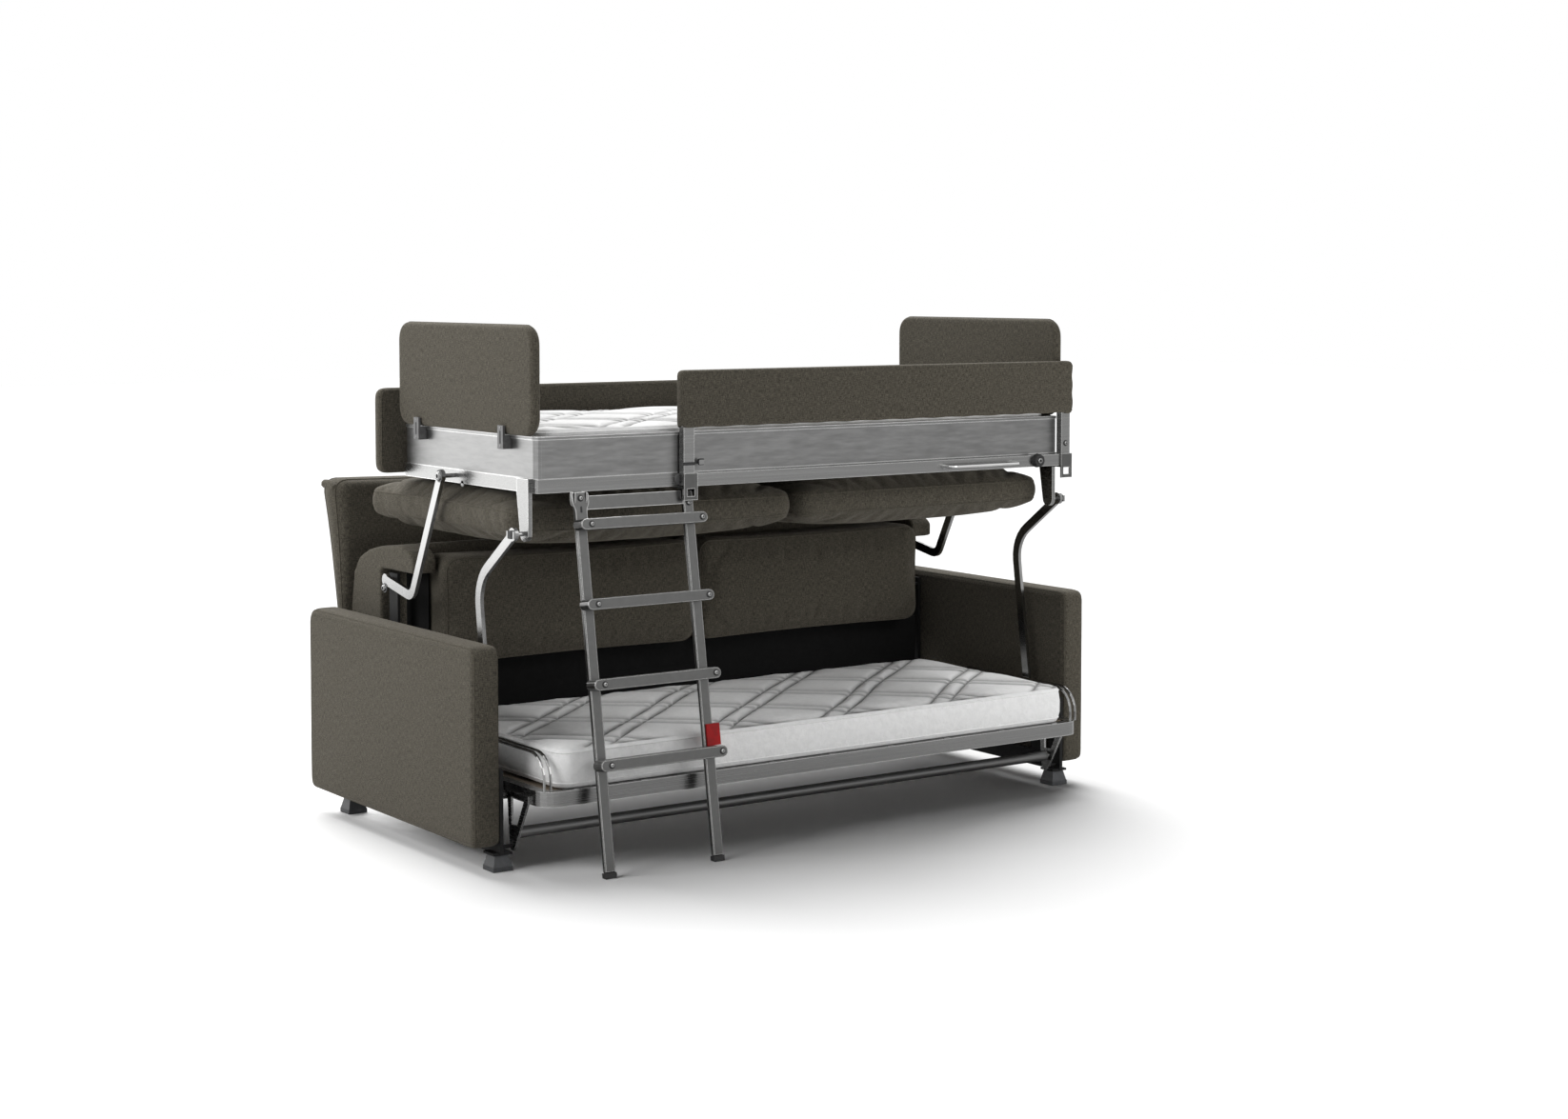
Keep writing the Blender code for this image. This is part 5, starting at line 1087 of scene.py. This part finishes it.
def build_mattress(name, body):
    low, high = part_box(name)
    edge, border, bulge = MATTRESS_EDGE, high.z - low.z - MATTRESS_RISE, MATTRESS_BULGE
    rings = [
        (edge, border), (edge * 0.4, border - 0.003), (0.002, border - 0.011), (0.0, border - 0.02),
        (-bulge, border * 0.6), (-bulge, border * 0.3), (0.001, 0.014), (edge * 0.5, 0.003), (edge, 0.0),
    ]
    rings = [(inset + bulge, height) for inset, height in rings]
    pad = pad_over(name, "XY", MATTRESS_CORNER, MATTRESS_CELL, rings)
    centre = middle(low, high)

    def relief(x, y):
        near = np.minimum(pad.half[0] - edge - np.abs(x), pad.half[1] - edge - np.abs(y))
        rise = np.clip(near / QUILT_FADE, 0, 1)
        return quilt(x + centre[0], y + centre[1]) * rise * (2 - rise) + MATTRESS_CROWN * rise

    flat = pad.build(high=MATTRESS_CROWN, relief=relief)
    quilted = np.zeros(len(flat), np.float32)
    quilted[pad.top_index] = 1
    sides = np.concatenate(pad.ring_index[3:7])
    outward = flat[sides, :2] / np.linalg.norm(flat[sides, :2], axis=1, keepdims=True)
    flat[sides, :2] += waves(flat, *MATTRESS_WAVES)[sides, None] * outward
    points = stand(flat, "XY", name, low.z)
    obj = soft(name, pad, points, body, "ticking")
    obj.data.attributes.new("quilted", "FLOAT", "POINT").data.foreach_set("value", quilted)
    welt(f"{name}_welt_upper", pad, points, 2, body, TAPE, "ticking")
    welt(f"{name}_welt_lower", pad, points, 6, body, WELT, "ticking")


# Guard


def build_guard_cover():
    """A cloth sleeve over the guard's upper part, open below, puckered at its ends."""
    low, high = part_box("guard_cover")
    pad = pad_over("guard_cover", "XZ", COVER_CORNER, COVER_CELL, round_edge(COVER_EDGE, high.y - low.y))
    points = stand(pad.build(), "XZ", "guard_cover", high.y)
    pull = waves(points, *COVER_WAVES)
    for far, pucker in zip((points[:, 0] - low.x, high.x - points[:, 0]), COVER_PUCKERS):
        height, reach, pitch, phase = pucker
        pull += height * np.exp(-far / reach) * np.sin(points[:, 2] * pitch + phase)
    points[:, 1] += np.where(points[:, 1] < middle(low, high)[1], pull, 0)
    height, reach, pitch = COVER_HEM
    hem = np.exp(-(points[:, 2] - low.z) / reach) * height * np.sin(points[:, 0] * pitch)
    points[:, 2] += hem * (points[:, 2] < low.z + COVER_HEM_REACH)
    obj = soft("guard_cover", pad, points, "guard", ending="cloth")
    bm = bmesh.new()
    bm.from_mesh(obj.data)
    gone = [
        face for face in bm.faces
        if face.normal.z < -0.5 and face.calc_center_median().z < low.z + COVER_OPENING
    ]
    bmesh.ops.delete(bm, geom=gone, context="FACES")
    bm.to_mesh(obj.data)
    bm.free()
    modifier = obj.modifiers.new("wall", "SOLIDIFY")
    modifier.thickness = COVER_WALL
    modifier.offset = -1.0
    subdivide(obj)
    for label, inset in COVER_ROWS.items():
        y, z = low.y + COVER_ROW_DEPTH, (low.z if inset > 0 else high.z) + inset
        row = np.linspace((low.x + COVER_ROW_END, y, z), (high.x - COVER_ROW_END, y, z), COVER_ROW_POINTS)
        stitches(f"guard_cover_stitches_{label}", row, (0, -1, 0), "guard")


for side in SIDES:
    build_armrest(side)
    build_headboard(side)
    build_seat_cushion(side)
    build_back_cushion(side)
build_apron()
build_shell()
build_bolster()
build_mattress("lower_mattress", "lower_bed")
build_mattress("upper_mattress", "upper_bed")
build_guard_cover()


# Fastenings and fittings

TO_FRONT = Vector((0, -1, 0))


def on_face(node, heading, at):
    """A place moved along a heading onto the outermost face of a CAD node."""
    node = frame["nodes"][node]
    heading, at = Vector(heading).normalized(), Vector(at)
    far = max((node.matrix_world @ vert.co).dot(heading) for vert in node.data.vertices)
    return at + heading * (far - SINK - at.dot(heading))


def facing(side):
    """The turn that lays a flat shape against a face at one end of the bed."""
    return turn_by((0, side, 0), (0, 0, 1))


def build_shell_recess_shade(side):
    """A near-black sheet on the inner wall of the recess at one end of the shell: painted shade for the
    recess.
    """
    openings = {row["name"]: row["box_m"] for row in frame["record"]["physics"]["openings"]}
    low, high = (Vector(corner) for corner in openings[f"shell_{SIDES[side]}_recess"])
    outline = rounded_outline((high.y - low.y) / 2, (high.z - low.z) / 2, RECESS_SHADE_CORNER)
    at = middle(low, high)
    at[0] = (high.x if side < 0 else low.x) - side * RECESS_SHADE_DEPTH
    slab(f"shell_lining_{SIDES[side]}", outline, facing(side), at, RECESS_SHADE_DEPTH, "base", "dark_lining", 0)


def build_bolster_hem(side):
    """The rolled hem at the top of each end of the bolster."""
    low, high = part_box("back_bolster")
    points = []
    for share in np.linspace(0, 1, HEM_POINTS):
        y = low.y + BOLSTER_LEAN + HEM_INSET + (high.y - low.y - BOLSTER_LEAN - 2 * HEM_INSET) * share
        droop = HEM_DROOP * (1 - math.sin(math.pi * share)) + HEM_FALL * (1 - share)
        points.append((side * (high.x - HEM_ROLL * HEM_TUCK[0]), y, high.z - HEM_ROLL * HEM_TUCK[1] - droop))
    line(f"bolster_hem_{SIDES[side]}", points, HEM_ROLL, "base", "woven_cover", closed=False)


def build_rail_lug(side):
    low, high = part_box("upper_frame")
    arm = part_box(f"rear_lift_arm_{SIDES[side]}")[0]
    face = low.x if side < 0 else high.x
    at = (face - side * RAIL_LUG[0], arm.y + ARM_END - RAIL_LUG_AHEAD, low.z - SINK)
    profile = scaled(RAIL_LUG_FORM, *RAIL_LUG)
    turned(f"rail_lug_{SIDES[side]}", at, (side, 0, 0), profile, "upper_bed", "chrome")


def build_swing_sleeve():
    """The stout tube that joins the two plates of the front swing frame."""
    node = frame["nodes"]["front_swing_frame"]
    low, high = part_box("front_swing_frame")
    places = [node.matrix_world @ vert.co for vert in node.data.vertices]
    ends = []
    for edge in node.data.edges:
        first, second = (places[index] for index in edge.vertices)
        if abs(first.x - second.x) > (high.x - low.x) / 2:
            ends += [first, second]
    first, last = np.min(ends, axis=0), np.max(ends, axis=0)
    _, y, z = middle(first, last)
    length = last[0] - first[0] - 2 * SLEEVE_INSET
    profile = [
        (0.0, SLEEVE - SLEEVE_TAPER), (SLEEVE_TAPER, SLEEVE), (length - SLEEVE_TAPER, SLEEVE),
        (length, SLEEVE - SLEEVE_TAPER),
    ]
    at = (-length / 2, y, z)
    sleeve = turned(
        "swing_tube_sleeve", at, (1, 0, 0), profile, "front_swing", "rail_steel", sides=SLEEVE_SIDES
    )
    sleeve.data.materials[0] = satin_tube


def build_ladder_fittings():
    first, last = (middle(*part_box(f"ladder_rung_{number}")) for number in (1, 4))
    up = Vector(first - last).normalized()
    out = Vector((1, 0, 0)).cross(up)
    for number in (1, 2, 3, 4):
        rung = f"ladder_rung_{number}"
        low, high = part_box(rung)
        for end, inset in RUNG_BOLT_INSETS.items():
            at = middle(low, high)
            at[0] = (low.x if inset > 0 else high.x) + inset
            ringed_bolt(f"{rung}_bolt_{end}", on_face(rung, out, at), out, "ladder")
    heads = []
    for end in SIDES.values():
        stile = f"ladder_stile_{end}"
        pivot = middle(*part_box(f"ladder_hook_{end}"))
        pivot[0] = middle(*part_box(stile))[0]
        pivot[2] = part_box("ladder_top_bar")[1].z - HEAD_PIVOT_DROP
        heads.append(on_face(stile, out, pivot))
    left, right = heads
    outline, turn = eased(HEAD_OUTLINE, HEAD_CORNER), turn_by((1, 0, 0), up)
    slab("ladder_head_plate", outline, turn, left, HEAD_PLATE, "ladder", "ladder_steel")
    plate = left + out * HEAD_PLATE
    slot = rounded_outline(*HEAD_SLOT)
    slab("ladder_head_slot", slot, turn, plate - up * HEAD_SLOT_DROP, SINK, "ladder", "black_rubber", 0)
    ringed_bolt("ladder_head_bolt", plate + up * HEAD_BOLT_RISE, out, "ladder")
    ringed_bolt("ladder_side_bolt", right - up * SIDE_BOLT_DROP, out, "ladder")


def build_guard_fittings():
    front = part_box("guard_frame")[0].y
    for end, (shift, height) in GUARD_POST_BOLTS.items():
        x = middle(*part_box(f"guard_hook_{end}"))[0] + shift
        ringed_bolt(f"guard_post_bolt_{end}", Vector((x, front + SINK, height)), TO_FRONT, "guard")
    x = middle(*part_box("guard_hook_left"))[0]
    at = (x - STOP_LUG_AHEAD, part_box("upper_frame")[0].y, STOP_LUG_HEIGHT)
    profile = scaled(STOP_LUG_FORM, *STOP_LUG)
    turned("guard_stop_lug", at, TO_FRONT, profile, "upper_bed", "clip_plastic")
    low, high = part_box("guard_latch")
    at = (x - STRAP_AHEAD, front, low.z + STRAP_RISE)
    strap, plate = rounded_outline(*STRAP), rounded_outline(*LATCH_PLATE)
    upright = turn_to("XZ")
    slab("guard_latch_strap", strap, upright, at, STRAP_DEPTH, "guard", "black_rubber")
    at = (high.x - LATCH_PLATE_INSET, low.y, middle(low, high)[2])
    slab("guard_latch_plate", plate, upright, at, LATCH_PLATE_DEPTH, "guard_latch", "chrome")
    at = on_face("guard_knob", TO_FRONT, middle(*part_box("guard_knob")))
    bolt("guard_knob_bolt", at, TO_FRONT, KNOB_BOLT, "guard", KNOB_BOLT_RISE)
    low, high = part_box("pull_handle")
    for end, x in (("left", low.x + HANDLE_FOOT_INSET), ("right", high.x - HANDLE_FOOT_INSET)):
        at = (x, front + SINK, middle(low, high)[2])
        washer(f"pull_handle_foot_{end}", at, TO_FRONT, HANDLE_FOOT, "guard", "chrome", HANDLE_FOOT_RISE)


def build_arm_fittings(side):
    """Nuts and pivot heads on the lift arms at one end of the bed."""
    label, outward, turn = SIDES[side], Vector((side, 0, 0)), facing(side)
    low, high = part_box(f"rear_lift_arm_{label}")
    front_low, front_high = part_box(f"front_lift_arm_{label}")
    face = (low.x if side < 0 else high.x) - side * SINK
    body = f"front_arm_{label}"
    top = Vector((face, front_low.y + ARM_END, front_high.z - ARM_END))
    nut, cheek = rounded_outline(*ARM_NUT), rounded_outline(*ARM_CHEEK)
    slab(f"front_arm_nut_{label}", nut, turn, top, ARM_NUT_DEPTH, body, "black_rubber", ARM_NUT_EDGE)
    for number, shift in ((1, -ARM_CHEEK_PLACE), (2, ARM_CHEEK_PLACE)):
        name, at = f"front_arm_cheek_{label}_{number}", top + Vector((0, shift, 0))
        slab(name, cheek, turn, at, ARM_CHEEK_DEPTH, body, "chrome", ARM_CHEEK_EDGE)
    body = f"rear_arm_{label}"
    for ring, head, (ring_radius, head_radius, rise), y, z in (
        ("ring", "head", PIVOT_TOP, low.y + ARM_END, high.z - ARM_END),
        ("foot_ring", "foot", PIVOT_FOOT, high.y - ARM_END, low.z + ARM_END),
    ):
        at = Vector((face, y, z))
        washer(f"rear_arm_{ring}_{label}", at, outward, ring_radius, body, "clip_plastic", PIVOT_RING_RISE)
        bolt(f"rear_arm_{head}_{label}", at + outward * RING_RISE, outward, head_radius, body, rise)


def build_clip_fittings(side):
    """The slot and screws of both headboard clips at one end of the bed."""
    outward = Vector((side, 0, 0))
    for end in ("front", "rear"):
        node = f"clip_{end}_{SIDES[side]}"
        at = on_face(node, outward, middle(*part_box(node)))
        slot = rounded_outline(*CLIP_SLOT)
        slab(f"{node}_slot", slot, facing(side), at + outward * SINK, SINK, "upper_bed", "black_rubber", 0)
        for number, shift in ((1, -CLIP_SCREW_PLACE), (2, CLIP_SCREW_PLACE)):
            bolt(f"{node}_screw_{number}", at + Vector((0, 0, shift)), outward, CLIP_SCREW, "upper_bed")


def build_rail_clips():
    low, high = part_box("lower_frame")
    y = (low.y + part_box("lower_mattress")[0].y) / 2
    outline, turn = rounded_outline(*RAIL_CLIP), turn_to("XY")
    places = np.linspace(low.x + RAIL_CLIP_END, high.x - RAIL_CLIP_END, RAIL_CLIP_COUNT)
    for number, x in enumerate(places):
        at = (x, y, high.z - SINK)
        slab(f"rail_clip_{number + 1}", outline, turn, at, RAIL_CLIP_RISE, "lower_bed", "chrome")


build_swing_sleeve()
build_ladder_fittings()
build_guard_fittings()
for side in SIDES:
    build_clip_fittings(side)
build_rail_clips()
for side in SIDES:
    build_arm_fittings(side)
    build_shell_recess_shade(side)
    build_bolster_hem(side)
    build_rail_lug(side)


# Edges of the metal nodes

EDGE_ROUND = {
    "upper_rim": 0.0015, "upper_frame": 0.0015, "lower_frame": 0.003, "guard_frame": 0.002,
    "ladder_top_bar": 0.0012, "ladder_catch": 0.0012, "front_swing_frame": 0.0008,
    "rear_swing_frame": 0.0008,
}
SIDE_EDGE_ROUND = {
    "side_frame": 0.001, "front_bracket": 0.0015, "front_lift_arm": 0.0016, "rear_lift_arm": 0.0016,
    "guard_hook": 0.0006, "ladder_cap": 0.001, "foot_front": 0.002, "foot_rear": 0.002,
}
for name, width in SIDE_EDGE_ROUND.items():
    EDGE_ROUND.update({f"{name}_{label}": width for label in SIDES.values()})
for name, width in EDGE_ROUND.items():
    modifier = frame["nodes"][name].modifiers.new("edge", "BEVEL")
    modifier.width = width
    modifier.segments = 2
    modifier.limit_method = "ANGLE"
    modifier.harden_normals = True


# Light, floor and camera

LIGHT_TARGET = Vector((0, 0, 0.6))
WORLD_LEVEL = 0.1
FLOOR_SIZE = 30.0
FLOOR_BOUNCE = 0.6
SUN_FROM = (0.28, 0.74, 1.0)
SUN_ANGLE = 58
SUN_STRENGTH = 4.35
BACK_PANEL = ((-3.6, 5.2, 1.3), (4.0, 2.6), 2.3)
LEFT_PANEL = ((-4.2, -0.4, 2.6), (2.6, 2.2), 5.4)
FRONT_PANEL = ((0.5, -4.5, 3.3), (4.0, 2.0), 2.2)
LOW_PANEL = ((2.1, -2.7, 0.85), (1.6, 0.8), 8.0)


def sun(name, heading, strength):
    """A far, wide, soft light from one side of the sky."""
    data = bpy.data.lights.new(name, "SUN")
    data.energy = strength
    data.angle = math.radians(SUN_ANGLE)
    add(name, data).rotation_euler = Vector(heading).to_track_quat("Z", "Y").to_euler()


def area(name, place, size, strength, mirrored=True):
    """A soft rectangular light aimed at the bed, with its strength given as the level of its face."""
    data = bpy.data.lights.new(name, "AREA")
    data.shape = "RECTANGLE"
    data.size, data.size_y = size
    data.energy = strength * math.pi * size[0] * size[1]
    obj = add(name, data)
    obj.location = place
    obj.rotation_euler = (LIGHT_TARGET - Vector(place)).to_track_quat("-Z", "Y").to_euler()
    obj.visible_camera = False
    obj.visible_glossy = mirrored
    return obj


def build_world():
    """White where it is seen, mirrored or looked through, and a low even level as a light."""
    world = bpy.data.worlds.new("studio")
    bpy.context.scene.world = world
    world.use_nodes = True
    tree = world.node_tree
    rays = add_node(tree, "ShaderNodeLightPath").outputs
    seen = rays["Is Camera Ray"]
    for kind in ("Is Glossy Ray", "Is Transmission Ray"):
        seen = add_node(tree, "ShaderNodeMath", {0: seen, 1: rays[kind]}, operation="MAXIMUM").outputs[0]
    level = add_node(tree, "ShaderNodeMapRange", {0: seen, 3: WORLD_LEVEL})
    background = tree.nodes["Background"]
    background.inputs["Color"].default_value = (*WHITE, 1)
    tree.links.new(level.outputs[0], background.inputs["Strength"])


def build_floor():
    size = FLOOR_SIZE
    mesh = mesh_of([(-size, -size, 0), (size, -size, 0), (size, size, 0), (-size, size, 0)], [(0, 1, 2, 3)])
    obj = add("floor", mesh)
    obj.location.z = -STAND_OFF
    made = Finish("floor_pale", 0.9, sockets={"Specular IOR Level": 0.0})
    rays = made.node("ShaderNodeLightPath").outputs["Is Camera Ray"]
    tones = {"Factor": rays, 6: (*shade(WHITE, FLOOR_BOUNCE), 1), 7: (*WHITE, 1)}
    tone = made.node("ShaderNodeMix", tones, data_type="RGBA")
    made.tree.links.new(tone.outputs[2], made.shader.inputs["Base Color"])
    mesh.materials.append(made.material)
    return obj


def keep_off(lights, obj):
    """Lets lights pass over one object, so that its shadow stays deep."""
    group = bpy.data.collections.new(f"{obj.name}_spared")
    group.objects.link(obj)
    group.collection_objects[0].light_linking.link_state = "EXCLUDE"
    for light in lights:
        light.light_linking.receiver_collection = group


def build_camera():
    data = bpy.data.cameras.new("camera")
    data.lens = LENS_MM
    data.sensor_width = SENSOR_MM
    data.shift_y = CAMERA_SHIFT
    obj = add("camera", data)
    obj.location = CAMERA_PLACE
    obj.rotation_euler = (math.radians(CAMERA_TILT), 0, math.radians(CAMERA_HEADING))
    bpy.context.scene.camera = obj


build_world()
floor = build_floor()
build_camera()
sun("sky_panel", SUN_FROM, SUN_STRENGTH)
area("back_left_panel", *BACK_PANEL)
area("left_panel", *LEFT_PANEL)
fills = [area("front_panel", *FRONT_PANEL), area("low_panel", *LOW_PANEL, mirrored=False)]
keep_off(fills, floor)

bpy.context.scene.view_settings.view_transform = "Standard"
